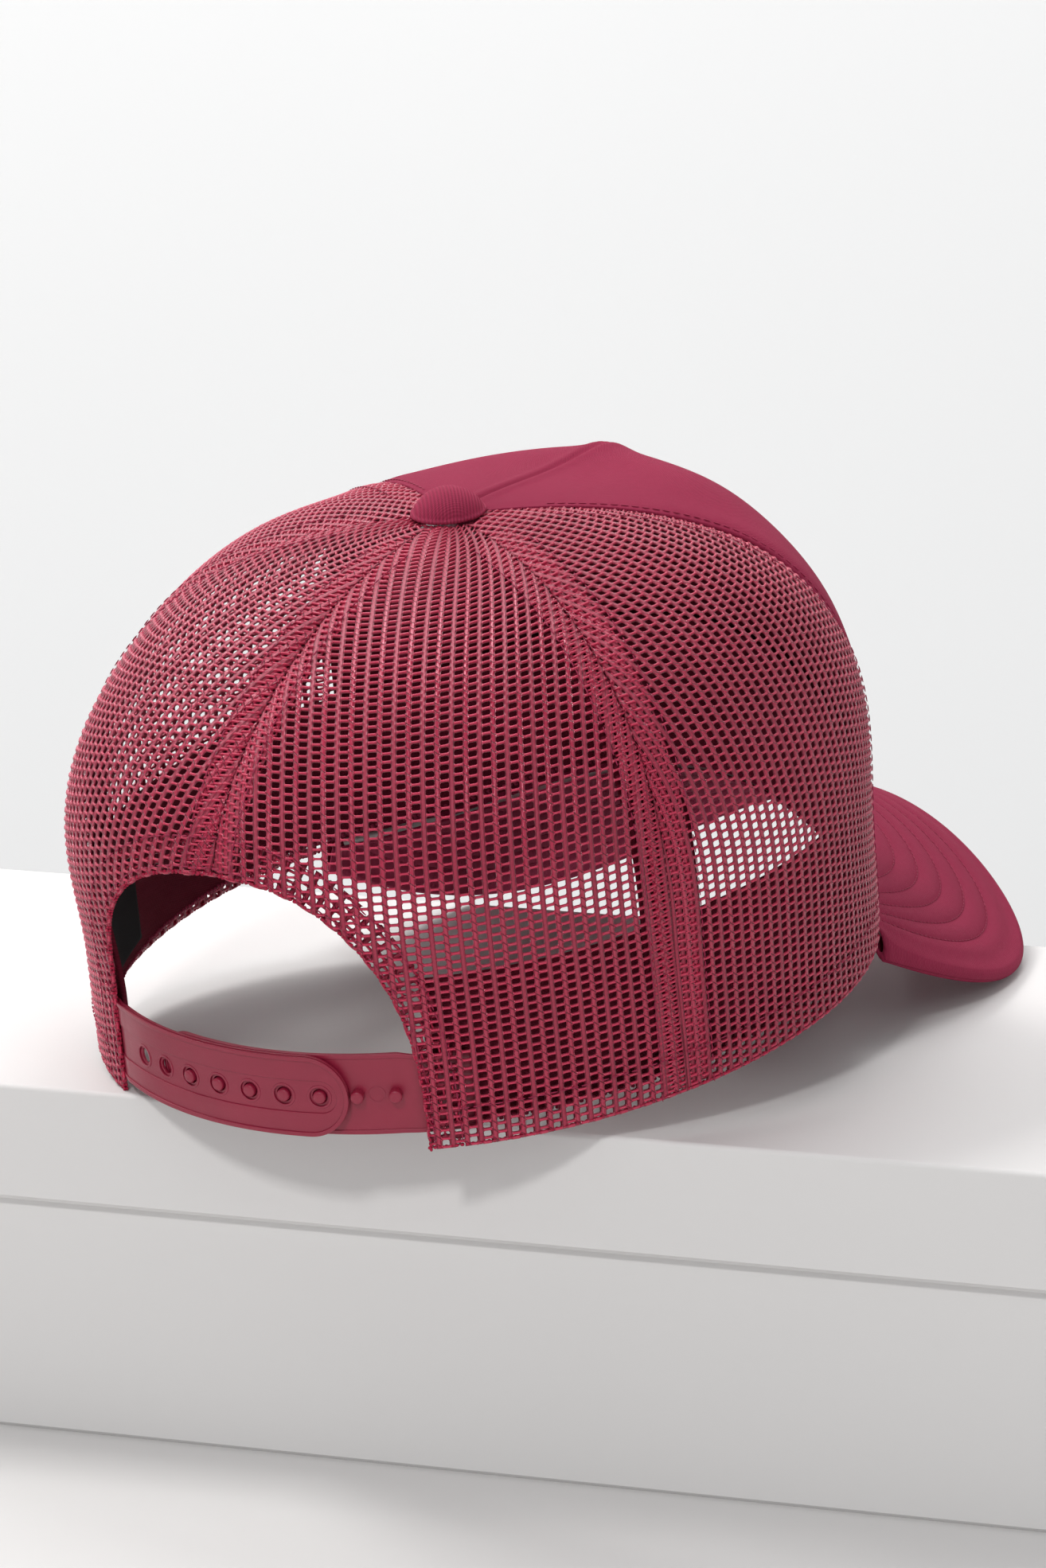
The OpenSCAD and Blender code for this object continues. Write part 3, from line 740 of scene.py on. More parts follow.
def fold_plan(crown, start, end, at_start, low, width, off):
    """Plan sheet and cut area of the folded allowance that runs beside one seam of a panel."""
    panel = Panel(crown, start, end)
    seam = start if at_start else end
    rows, margin = 60, 0.8
    top = float(panel.y_of(seam, 0.955))
    ys = np.linspace(low, top, rows)
    y = np.repeat(ys[None, :], 6, 0)
    edge = panel.x_of(np.full(rows, seam), ys)
    d = np.array([-margin, 0, width / 3, 2 * width / 3, width, width + margin])[:, None]
    x = edge[None, :] + (1 if at_start else -1) * np.minimum(d, np.abs(edge)[None, :] + margin)
    phi = panel.phi_at(x, y)
    pts = crown.point(phi, panel.u_at(phi, y), off)
    flat = np.stack([x, y], -1) * MM
    if not at_start:
        pts, flat = pts[::-1], flat[::-1]
    return plan_sheet(widened(pts, 1, 0.5), widened(flat, 1, 0.5))


def path_plan(points, widths):
    """Plan sheet, cut area and length of a band that follows the first axis of a grid."""
    run = run_along(points[:, points.shape[1] // 2])
    flat = np.stack(np.meshgrid(run, widths, indexing="ij"), -1) * MM
    pts, flat = (widened(widened(grid, 0, 0.7), 1, 0.5) for grid in (points, flat))
    return *plan_sheet(pts, flat), run[-1]


# ---------------------------------------------------------------- stitching


def stitch_tree():
    """Lays a short thread along each path at an even spacing."""
    tree = bpy.data.node_groups.get("Stitching")
    if tree:
        return tree
    tree, group = new_tree("Stitching", [], (("Stitch length", 0.0026), ("Thread radius", 0.00022)))
    length, thread = group.outputs["Stitch length"], group.outputs["Thread radius"]
    paths = add(tree, "GeometryNodeMeshToCurve", {"Mesh": group.outputs["Geometry"]}).outputs[0]
    dots = add(tree, "GeometryNodeCurveToPoints", {"Curve": paths, "Length": length}, mode="LENGTH")
    bead = add(tree, "GeometryNodeMeshUVSphere", {"Segments": 6, "Rings": 4, "Radius": thread})
    stretch = math_node(tree, "DIVIDE", times(tree, length, 0.40), thread)
    inputs = {
        "Points": dots.outputs["Points"],
        "Instance": bead.outputs["Mesh"],
        "Rotation": dots.outputs["Rotation"],
        "Scale": vector_of(tree, 1.0, 1.0, stretch),
    }
    copies = add(tree, "GeometryNodeInstanceOnPoints", inputs).outputs["Instances"]
    real = add(tree, "GeometryNodeRealizeInstances", {"Geometry": copies}).outputs["Geometry"]
    paint_and_end(tree, group, real)
    return tree


def stitched(paths, name, material, length, thread):
    """A piece of stitches along paths, each a list of points in the row frame."""
    points, edges = [], []
    for path in paths:
        base = len(points)
        points.extend(np.asarray(path).tolist())
        edges.extend((base + i, base + i + 1) for i in range(len(path) - 1))
    mesh = bpy.data.meshes.new("paths")
    mesh.from_pydata(points, edges, [])
    guide = link(mesh, "paths")
    inputs = {"Stitch length": length, "Thread radius": thread, "Material": material}
    made = run_tree(guide, stitch_tree(), inputs)
    bpy.data.objects.remove(guide)
    made.materials.clear()
    finished(link(made, name, material), "cap")


# ---------------------------------------------------------------- materials


def new_material(name):
    """An empty material with its shader."""
    mat = bpy.data.materials.new(name)
    mat.use_nodes = True
    tree = mat.node_tree
    tree.nodes.clear()
    shader = add(tree, "ShaderNodeBsdfPrincipled")
    add(tree, "ShaderNodeOutputMaterial", {"Surface": shader.outputs[0]})
    return mat, tree, shader


def object_place(tree):
    return add(tree, "ShaderNodeTexCoord").outputs["Object"]


def uv_parts(tree):
    """The flat UV map and its two distances, in metres."""
    vector = add(tree, "ShaderNodeUVMap", uv_map="UVMap").outputs[0]
    parts = parts_of(tree, vector)
    return vector, parts[0], parts[1]


def noise(tree, vector, scale, detail=3.0, roughness=0.55):
    inputs = {"Vector": vector, "Scale": scale, "Detail": detail, "Roughness": roughness}
    return add(tree, "ShaderNodeTexNoise", inputs).outputs[0]


def coloured(tree, shader, factor, low, high):
    """Base colour between two colours; inputs 6 and 7 and output 2 of the node are its colours."""
    mix = add(tree, "ShaderNodeMix", {0: factor, 6: (*low[:3], 1), 7: (*high[:3], 1)}, data_type="RGBA")
    feed(tree, shader.inputs["Base Color"], mix.outputs[2])


def bumped(tree, shader, height, strength, distance):
    """Relief of the surface; distance is in metres."""
    inputs = {"Height": height, "Strength": strength, "Distance": distance}
    feed(tree, shader.inputs["Normal"], add(tree, "ShaderNodeBump", inputs).outputs[0])


def wave_of(tree, value, pitch):
    """0 to 1 and back over each pitch."""
    turn = times(tree, value, 2 * math.pi / pitch)
    return times_plus(tree, math_node(tree, "SINE", turn), 0.5, 0.5)


def shade(colour, amount):
    """A colour made darker or lighter."""
    return tuple(min(1.0, c * amount) for c in colour[:3])


def twill_material(name, colour, pitch=0.00062, sheen=0.22):
    """Brushed cotton twill: slanted ribs, thread crossings, soft nap."""
    mat, tree, shader = new_material(name)
    vector, x, y = uv_parts(tree)
    slant = plus(tree, x, times(tree, y, 0.9))
    wobble = times(tree, minus(tree, noise(tree, vector, 900, 2), 0.5), pitch * 0.5)
    rib = wave_of(tree, plus(tree, slant, wobble), pitch)
    thread = wave_of(tree, minus(tree, y, times(tree, x, 0.25)), pitch * 0.7)
    weave = times_plus(tree, thread, 0.45, times(tree, rib, 0.55))
    nap = noise(tree, vector, 1500, 4, 0.7)
    tuft = noise(tree, vector, 420, 5, 0.75)
    patch = noise(tree, vector, 28, 3, 0.5)
    tone = times_plus(tree, weave, 0.3, times(tree, nap, 0.25))
    tone = times_plus(tree, tuft, 0.35, tone)
    tone = plus(tree, tone, times(tree, patch, 0.15), clamp=True)
    coloured(tree, shader, tone, shade(colour, 0.45), shade(colour, 1.5))
    shader.inputs["Roughness"].default_value = 0.92
    shader.inputs["Sheen Weight"].default_value = sheen
    shader.inputs["Sheen Roughness"].default_value = 0.5
    shader.inputs["Sheen Tint"].default_value = (*shade(colour, 2.6), 1)
    shader.inputs["Specular IOR Level"].default_value = 0.25
    height = times_plus(tree, nap, 0.5, weave)
    height = times_plus(tree, tuft, 1.4, height)
    bumped(tree, shader, height, 0.55, 0.0003)
    return mat


def knit_material(name, colour, glow, pitch, row):
    """Knitted yarn: matt bands and glossy bands of slanted blocks in turn, with raised bars between; its
    colour has painted highlights on the bars and glossy bands and painted shade in the grooves.
    """
    mat, tree, shader = new_material(name)
    vector, x, y = uv_parts(tree)
    column = math_node(tree, "DIVIDE", x, pitch)
    level = math_node(tree, "DIVIDE", y, row)
    number = math_node(tree, "ROUND", column)
    odd = math_node(tree, "FLOORED_MODULO", number, 2.0)
    beside = math_node(tree, "ABSOLUTE", minus(tree, column, number))
    band = times(tree, minus(tree, beside, 0.29), 14.0, clamp=True)
    turn = math_node(tree, "FRACT", times_plus(tree, odd, -0.5, level))
    off_bar = math_node(tree, "ABSOLUTE", minus(tree, turn, 0.5))
    bar = times_plus(tree, off_bar, -7.0, 1.5, clamp=True)
    bar = times(tree, bar, minus(tree, 1.0, band))
    across = minus(tree, math_node(tree, "FRACT", times_plus(tree, column, 0.5, 0.25)), 0.5)
    glossy = times_plus(tree, math_node(tree, "ABSOLUTE", across), -20.0, 3.2, clamp=True)
    step = math_node(tree, "FRACT", plus(tree, level, times_plus(tree, across, 2.5, -0.25)))
    off_step = math_node(tree, "ABSOLUTE", minus(tree, step, 0.5))
    groove = times_plus(tree, off_step, 9.0, -3.6, clamp=True)
    groove = times(tree, groove, glossy)
    # Groove along each band's edge beside the holes, not a sewn seam; the colour below darkens it as painted
    # shade.
    off_band_edge = math_node(tree, "ABSOLUTE", minus(tree, beside, 0.34))
    seam = times_plus(tree, off_band_edge, -22.0, 1.0, clamp=True)
    fibre = noise(tree, vector, 2600, 2, 0.6)
    strands = wave_of(tree, x, 0.00026)
    patch = noise(tree, vector, 60, 3, 0.5)
    tone = times_plus(tree, fibre, 0.3, times(tree, strands, 0.14))
    tone = times_plus(tree, patch, 0.22, tone)
    # Painted highlight: the raised bars and the glossy bands are made lighter, as where they catch the light.
    tone = times_plus(tree, bar, 0.34, tone)
    tone = times_plus(tree, glossy, 0.14, tone)
    # Painted shade: darker in the grooves between the slanted blocks.
    tone = times_plus(tree, groove, -0.75, tone)
    # Painted shade: darker along the grooves at the band edges.
    tone = times_plus(tree, seam, -0.3, tone, clamp=True)
    coloured(tree, shader, tone, shade(colour, 0.3), shade(colour, 1.75))
    rough = times_plus(tree, glossy, -0.2, 0.37)
    rough = times_plus(tree, bar, -0.1, rough)
    rough = times_plus(tree, fibre, 0.12, rough)
    feed(tree, shader.inputs["Roughness"], rough)
    shader.inputs["Specular IOR Level"].default_value = 1.0
    shader.inputs["Specular Tint"].default_value = (*glow[:3], 1)
    shader.inputs["Sheen Weight"].default_value = 0.08
    shader.inputs["Sheen Tint"].default_value = (*glow[:3], 1)
    height = times_plus(tree, strands, 0.4, times(tree, fibre, 0.35))
    height = times_plus(tree, times(tree, step, glossy), 0.9, height)
    height = times_plus(tree, groove, -1.6, height)
    height = times_plus(tree, seam, -1.1, height)
    height = times_plus(tree, bar, 0.5, height)
    bumped(tree, shader, height, 0.75, 0.00014)
    return mat


def tape_material(name, colour, pitch=0.0009):
    """Woven cotton tape or band with a fine plain weave."""
    mat, tree, shader = new_material(name)
    vector, x, y = uv_parts(tree)
    warp, weft = wave_of(tree, x, pitch), wave_of(tree, y, pitch)
    weave = times(tree, warp, weft)
    nap = noise(tree, vector, 1300, 4, 0.65)
    patch = noise(tree, vector, 45, 3)
    tone = times_plus(tree, weave, 0.4, times(tree, nap, 0.4))
    tone = times_plus(tree, patch, 0.2, tone, clamp=True)
    coloured(tree, shader, tone, shade(colour, 0.65), shade(colour, 1.35))
    shader.inputs["Roughness"].default_value = 0.9
    shader.inputs["Sheen Weight"].default_value = 0.2
    shader.inputs["Sheen Tint"].default_value = (*shade(colour, 2.0), 1)
    shader.inputs["Specular IOR Level"].default_value = 0.2
    bumped(tree, shader, times_plus(tree, nap, 0.5, weave), 0.4, 0.00025)
    return mat


def ribbed_material(name, colour):
    """Cloth of the button: fine corded ribs."""
    mat, tree, shader = new_material(name)
    where = object_place(tree)
    x, y, _ = parts_of(tree, where)
    slant = plus(tree, times(tree, x, 0.75), times(tree, y, 0.66))
    rib = wave_of(tree, slant, 0.00078)
    thread = wave_of(tree, minus(tree, x, y), 0.00052)
    nap = noise(tree, where, 1700, 4, 0.7)
    tone = times_plus(tree, rib, 0.45, times(tree, nap, 0.35))
    tone = times_plus(tree, thread, 0.2, tone, clamp=True)
    coloured(tree, shader, tone, shade(colour, 0.6), shade(colour, 1.35))
    shader.inputs["Roughness"].default_value = 0.85
    shader.inputs["Sheen Weight"].default_value = 0.4
    shader.inputs["Sheen Tint"].default_value = (*shade(colour, 2.6), 1)
    shader.inputs["Specular IOR Level"].default_value = 0.3
    bumped(tree, shader, times_plus(tree, rib, 1.0, times(tree, thread, 0.35)), 0.6, 0.0003)
    return mat


def plastic_material(name, colour):
    """Satin moulded plastic with faint swirl and fine scuffs."""
    mat, tree, shader = new_material(name)
    where = object_place(tree)
    cloud = noise(tree, where, 90, 4, 0.6)
    fine = noise(tree, where, 2400, 2, 0.5)
    along_strap = add(tree, "ShaderNodeMapping", {"Vector": where, "Scale": (300, 300, 3200)}).outputs[0]
    lines = noise(tree, along_strap, 1.0, 2, 0.5)
    coloured(tree, shader, cloud, shade(colour, 0.85), shade(colour, 1.18))
    rough = times_plus(tree, lines, 0.16, times_plus(tree, fine, 0.06, 0.27))
    feed(tree, shader.inputs["Roughness"], rough)
    shader.inputs["Specular IOR Level"].default_value = 0.5
    shader.inputs["Subsurface Weight"].default_value = 0.08
    shader.inputs["Subsurface Radius"].default_value = (0.003, 0.0006, 0.001)
    shader.inputs["Subsurface Scale"].default_value = 1.0
    bumped(tree, shader, times_plus(tree, cloud, 2.0, fine), 0.12, 0.0002)
    return mat


def thread_material(name, colour):
    """Twisted thread."""
    mat, tree, shader = new_material(name)
    twist = noise(tree, object_place(tree), 5200, 2, 0.6)
    coloured(tree, shader, twist, shade(colour, 0.7), shade(colour, 1.3))
    shader.inputs["Roughness"].default_value = 0.7
    shader.inputs["Sheen Weight"].default_value = 0.08
    shader.inputs["Sheen Tint"].default_value = (*shade(colour, 2.0), 1)
    shader.inputs["Specular IOR Level"].default_value = 0.3
    bumped(tree, shader, twist, 0.4, 0.0001)
    return mat


def metal_material(name, colour):
    """Pressed metal with fine marks."""
    mat, tree, shader = new_material(name)
    marks = noise(tree, object_place(tree), 1400, 3, 0.6)
    coloured(tree, shader, marks, shade(colour, 0.8), shade(colour, 1.1))
    shader.inputs["Metallic"].default_value = 1.0
    feed(tree, shader.inputs["Roughness"], times_plus(tree, marks, 0.25, 0.28))
    bumped(tree, shader, marks, 0.2, 0.0001)
    return mat


def board_material(name):
    """Grainy white board."""
    mat, tree, shader = new_material(name)
    grain = noise(tree, object_place(tree), 700, 4, 0.6)
    coloured(tree, shader, grain, (0.62, 0.62, 0.6), (0.8, 0.8, 0.78))
    feed(tree, shader.inputs["Roughness"], times_plus(tree, grain, 0.2, 0.45))
    bumped(tree, shader, grain, 0.2, 0.0002)
    return mat


def finish(name):
    """The cap's finishes by name, made once."""
    looks = bpy.context.scene.cap_looks
    sizes = bpy.context.scene.cap_sizes
    makers = {
        "Front twill": lambda: twill_material(name, looks.cloth),
        "Visor twill": lambda: twill_material(name, looks.cloth),
        "Knitted yarn": lambda: knit_material(
            name, looks.mesh, looks.mesh_glow, sizes.column_pitch, sizes.row_pitch
        ),
        # The lining colour holds painted shade for the cap's shadowed inside.
        "Seam tape cloth": lambda: tape_material(name, looks.lining),
        "Sweatband cotton": lambda: twill_material(name, looks.lining, 0.0008, 0.15),
        "Stiff backing": lambda: tape_material(name, shade(looks.lining, 0.9), 0.0012),
        "Label weave": lambda: tape_material(name, looks.label, 0.0004),
        "Button cord": lambda: ribbed_material(name, looks.cloth),
        "Snap plastic": lambda: plastic_material(name, looks.plastic),
        "Thread": lambda: thread_material(name, shade(looks.cloth, 1.1)),
        "Edge yarn": lambda: thread_material(name, shade(looks.mesh, 0.9)),
        "Button metal": lambda: metal_material(name, (0.7, 0.7, 0.72)),
        "Visor board plastic": lambda: board_material(name),
    }
    return bpy.data.materials.get(name) or makers[name]()


# ---------------------------------------------------------------- cloth pieces


def crown_slab(crown, name, phi, u, high, low, material, slot, detail=True, wave=None):
    """Closed cloth on the crown over a grid of angles and rises."""
    phi, u = np.broadcast_arrays(phi, u)
    top, base = (crown.point(phi, u, off, detail) for off in (high, low))
    if wave is not None:
        push = wave[..., None] * normals_of(top)
        top, base = top + push, base + push
    outer, inner = to_row(top), to_row(base)
    obj = link(slab_mesh(name + "_cloth", inner, outer), name + "_cloth", finish(material))
    lay = np.linalg.norm(np.diff(outer, axis=0), axis=2)
    climb = np.linalg.norm(np.diff(outer, axis=1), axis=2)
    area = float((lay[:, :-1] * climb[:-1]).sum())
    finished(obj, "cap", name, slot=slot)
    cut(area, float(lay.sum(0).max()), float(climb.sum(1).max()))


def cut(area, width, length):
    """Works out a sheet's flat cut, with the area kept within its rectangle; the result is not kept."""
    least_side, least_share = 0.0101, 0.31
    width, length = max(width, least_side), max(length, least_side)
    area = min(area, width * length)
    while area < least_share * width * length:
        length *= 0.95


def make_front(crown):
    """Cloth front with its pinched dart, and the stiff backing behind it."""
    edge = crown.front_seam + 0.15
    phi = np.linspace(edge, 360 - edge, 141)[:, None]
    low = crown.rise(phi, crown.rim_z(phi))
    u = low + (crown.open_top - low) * (np.linspace(0, 1, 120) ** 0.9)[None, :]
    rho, h = crown.levels(phi, u)
    gap = np.abs(phi - 180) * np.pi / 180 * 90 * rho
    dart = ease((h - 0.86) * 18)
    wave = dart * (0.4 * np.exp(-(((gap - 1.8) / 1.5) ** 2)) - 0.55 * np.exp(-((gap / 0.7) ** 2)))
    wave = wave + 1.5 * np.exp(-((gap / 5.0) ** 2)) * np.exp(-(((h - 0.875) / 0.035) ** 2))
    wave = wave + 0.22 * np.sin(gap * 0.19 + 9 * h) * np.sin(7 * h + 1) * ease(3 * h) * ease(6 * (1 - h))
    crown_slab(
        crown, "front_panel", phi, u, 0.0, -0.7, "Front twill", "front_cloth", wave=wave
    )
    phi = np.linspace(crown.front_seam + 8.5, 351.5 - crown.front_seam, 61)[:, None]
    low = crown.rise(phi, crown.rim_z(phi) + 2)
    u = low + (0.82 - low) * np.linspace(0, 1, 40)[None, :]
    crown_slab(
        crown, "front_backing", phi, u, -1.15, -1.6, "Stiff backing", "backing"
    )


def rear_columns(crown):
    """Angles across half of a rear panel and the height of its lower edge at each."""
    s, z = crown.arch(np.linspace(0, 90, 22), 0)
    wide = crown.angle_at(crown.opening_half)
    phis = np.concatenate([crown.angle_at(s), np.linspace(wide, crown.side_seam, 9)[1:]])
    return phis, np.concatenate([z, np.zeros(8)])


def make_mesh_panels(crown):
    """Four knitted panels, each with the allowances folded in beside its seams."""
    fold_width, panel_off, fold_off = 6.6, -0.36, -0.62
    phis, lows = rear_columns(crown)
    sides = np.linspace(crown.side_seam, crown.front_seam, 26)
    side_lows = crown.rim_z(sides)
    plans = {
        "back_mesh_right": (0, crown.side_seam, phis, lows),
        "back_mesh_left": (-crown.side_seam, 0, -phis[::-1], lows[::-1]),
        "side_mesh_right": (crown.side_seam, crown.front_seam, sides, side_lows),
        "side_mesh_left": (-crown.front_seam, -crown.side_seam, -sides[::-1], side_lows[::-1]),
    }
    for k, (node, (start, end, angles, low)) in enumerate(plans.items()):
        main, area, flat = panel_plan(crown, start, end, low, angles, panel_off)
        sheets, slides = [main], [0.4 + 0.9 * k]
        for at_start in (True, False):
            base = 1.0 if (start if at_start else end) else 64.0
            fold, more = fold_plan(crown, start, end, at_start, base, fold_width, fold_off)
            sheets.append(fold)
            slides.append(1.3 + 0.9 * k + 0.8 * at_start)
            area += more
        obj = knitted(sheets, node + "_knit", slides)
        finished(obj, "cap", node, slot="mesh")
        wide, tall = (float(side) for side in np.ptp(flat.reshape(-1, 2), axis=0))
        cut(area, wide + 0.014, tall)


def folded_band(node, grid, profile, slide):
    """A knitted strip folded over an edge: grid follows the edge, profile is its section."""
    lengths = run_along(profile)
    sheet, area, run = path_plan(grid, lengths)
    obj = knitted([sheet], node + "_knit", [slide])
    finished(obj, "cap", node, slot="mesh")
    cut(area, run * MM, lengths[-1] * MM)


def make_edges(crown):
    """Knit folded in round the rear opening and along the lower edge."""
    lip = [(0.5, -0.2), (0.05, -0.45), (-0.15, -0.8), (0.4, -1.15)]
    profile = lip + [(into, -1.2) for into in (1.6, 3.2, 5.0, 6.8, 8.0)]
    t = np.linspace(-90, 90, 161)
    pucker = 0.28 * np.sin(t * 0.9) * np.sin(t * 0.37 + 1)
    grid = np.stack([crown.arch_point(t, d, off + pucker * min(1, d / 3)) for d, off in profile], 1)
    folded_band("opening_binding", grid, profile, 0.7)
    lip = [(0.7, -0.15), (0.1, -0.4), (0.0, -0.85)]
    profile = lip + [(up, -1.2) for up in (0.6, 2.4, 4.6, 7.0, 9.8)]
    for side, name in ((1, "right"), (-1, "left")):
        phi = np.linspace(crown.angle_at(crown.opening_half + 9), crown.visor_angle - 1, 90) * side
        wavy = 0.25 * np.sin(phi * 0.8) * np.sin(phi * 0.31)
        rows = [crown.point(phi, crown.rise(phi, z), off + wavy * min(1, z / 4)) for z, off in profile]
        folded_band(f"hem_{name}", np.stack(rows, 1), profile, 0.3)


def make_tapes(crown):
    """A tape behind each seam, cupped a little at its edges."""
    low_z, tape_half, top, face, thick = 11.0, 7, 0.93, -1.2, 0.42
    seams = {
        "seam_tape_rear": (0.0, crown.opening_height + 9.5, "back_mesh_right_knit", "back_mesh_left_knit"),
        "seam_tape_side_right": (crown.side_seam, low_z, "back_mesh_right_knit", "side_mesh_right_knit"),
        "seam_tape_side_left": (-crown.side_seam, low_z, "back_mesh_left_knit", "side_mesh_left_knit"),
        "seam_tape_front_right": (crown.front_seam, low_z, "side_mesh_right_knit", "front_panel_cloth"),
        "seam_tape_front_left": (-crown.front_seam, low_z, "side_mesh_left_knit", "front_panel_cloth"),
    }
    for node, (phi, z, one, other) in seams.items():
        u = np.linspace(float(crown.rise(phi, z)), top, 80)[None, :]
        side = np.linspace(-1, 1, 11)[:, None]
        angle = phi + side * tape_half / crown.spread(phi, u, 0.1) * 180 / np.pi
        cup = 0.18 * np.abs(side) ** 3 + 0 * u
        top_face = crown.point(angle, u + 0 * side, face)
        base = crown.point(angle, u + 0 * side, face - thick)
        push = -cup[..., None] * outward_of(top_face, 5, 20)
        outer, inner = to_row(top_face + push), to_row(base + push)
        obj = link(slab_mesh(node + "_cloth", inner, outer), node + "_cloth", finish("Seam tape cloth"))
        finished(obj, "cap", node, slot="tape")
        flat = (2 * tape_half * MM, float(run_along(outer[5])[-1]))


def make_sweatband(crown):
    """Sweatband with its overlocked lower edge and its blank label."""
    start = float(crown.angle_at(crown.opening_half)) + 0.6
    over_rim = 4.5
    phi = np.linspace(start, 360 - start, 281)[:, None]
    z = np.concatenate([[0.0, 0.25], np.linspace(0.6, 35.4, 26), [35.75, 36.0]])[None, :]
    u = crown.rise(phi, crown.rim_z(phi) + over_rim + z)
    wave = 0.22 * np.sin(np.radians(phi * 7)) * np.sin(z * 0.16)
    wave = wave + 0.12 * np.sin(np.radians(phi * 23) + z * 0.2)
    crown_slab(
        crown, "sweatband", phi, u, -3.15, -4.25, "Sweatband cotton", "sweatband", detail=False,
        wave=0.5 * wave,
    )
    p = np.linspace(start + 0.4, 359.6 - start, 900)
    wobble = 0.35 * np.sin(np.radians(p * 131)) + 0.2 * np.sin(np.radians(p * 77))
    paths = []
    for off, lift in ((-3.25, 0.5), (-3.7, -0.25), (-4.2, 0.5)):
        at = crown.rise(p, crown.rim_z(p) + over_rim - 0.2 + lift + 0.3 * wobble)
        paths.append(to_row(crown.point(p, at, off + 0.15 * wobble, False)))
    stitched(paths, "sweatband_serging", finish("Thread"), 0.0014, 0.00042)
    a, b = 290.0, 310.0
    phi = np.linspace(a, b, 31)[:, None]
    u = crown.rise(phi, 8 + np.linspace(0, 22, 31)[None, :])
    gap = np.minimum((phi - a) / (b - a), (b - phi) / (b - a))
    bow = -0.25 * np.sin(np.pi * gap * 2) * np.ones_like(u)
    crown_slab(
        crown, "size_label", phi, u, -4.5, -4.8, "Label weave", "label",
        detail=False, wave=0.5 * bow,
    )


# ---------------------------------------------------------------- visor


def visor_rows_at():
    """Distance of each row of stitching from the visor's edge."""
    sizes = bpy.context.scene.cap_sizes
    return [sizes.stitch_first / MM + k * sizes.stitch_gap / MM for k in range(sizes.stitch_rows)]


def visor_length_at(crown, v):
    """Length of the visor's plan from its root to its edge."""
    root, edge = (np.stack(crown.visor_flat(v, np.full_like(v, w)), -1) for w in (0, 1))
    return np.linalg.norm(edge - root, axis=-1)


def make_visor(crown):
    """Top and under covers with their rows of stitching pressed in, closed over a rolled edge."""
    v = np.sin(np.linspace(-np.pi / 2, np.pi / 2, 181)) * 0.35 + np.linspace(-1, 1, 181) * 0.65
    length = visor_length_at(crown, v)
    radius, cloth = 1.75, 0.6
    rows = visor_rows_at()
    inset = np.minimum(radius, 0.45 * length)
    lay = np.linspace(0, 1, 110)[None, :]
    flat_w = (1 - inset / length)[:, None] * lay
    away = (1 - flat_w) * length[:, None]
    groove = sum(np.exp(-(((away - d) / 0.75) ** 2)) for d in rows)
    puff = 0.12 * np.cos((away - rows[0]) * 2 * np.pi / (rows[1] - rows[0]) + np.pi)
    push = (-0.32 * groove + puff) * ease(lay * 12)
    turn = np.radians(np.linspace(10, 88, 8))[None, :]
    round_w = 1 - inset[:, None] * (1 - np.sin(turn)) / length[:, None]
    level = np.zeros_like(inset)[:, None]
    w = np.concatenate([flat_w, round_w], 1)
    high = np.concatenate([radius + push, radius * np.cos(turn) + level], 1)
    thick = np.concatenate([cloth + 0 * push, cloth * np.cos(turn * 0.8) + level], 1)
    low = np.maximum(high - thick, 0.02)
    in_w = np.clip(np.concatenate([flat_w, round_w - 0.55 * np.sin(turn) / length[:, None]], 1), 0, 1)
    grid_v = np.repeat(v[:, None], w.shape[1], 1)
    plan = np.stack(crown.visor_flat(grid_v, w), -1) * MM
    wide, deep = (float(side) for side in np.ptp(plan.reshape(-1, 2), axis=0))
    area = min(flat_area(plan) * 1.08, wide * deep)
    for side, node in ((1, "visor_top_cover"), (-1, "visor_under_cover")):
        outer = to_row(crown.visor_point(grid_v, w, side * high))
        inner = to_row(crown.visor_point(grid_v, in_w, side * low))
        pair = (outer, inner) if side < 0 else (inner, outer)
        obj = link(slab_mesh(node + "_cloth", *pair, plan), node + "_cloth", finish("Visor twill"))
        weld(obj.data)
        finished(obj, "cap", node, slot="visor_cloth")
        cut(area, wide * 1.06, deep * 1.04)


def make_board(crown):
    """Stiff board between the covers, with its edges kept inside their rolled edge."""
    half_thick, edge_gap, root = 0.95, 3.0, 0.02
    v = np.linspace(-0.965, 0.965, 121)
    length = visor_length_at(crown, v)
    far = np.maximum(1 - edge_gap / length, 0.3)
    w = root + (far - root)[:, None] * np.linspace(0, 1, 40)[None, :]
    grid = np.repeat(v[:, None], 40, 1)
    lift = np.minimum(half_thick, 0.08 * length)[:, None] * np.ones_like(w)
    outer, inner = (to_row(crown.visor_point(grid, w, side * lift)) for side in (-1, 1))
    name = "visor_board_moulding"
    obj = link(slab_mesh(name, outer, inner), name, finish("Visor board plastic"))
    finished(obj, "cap", "visor_board", slot="visor_board")


# ---------------------------------------------------------------- button


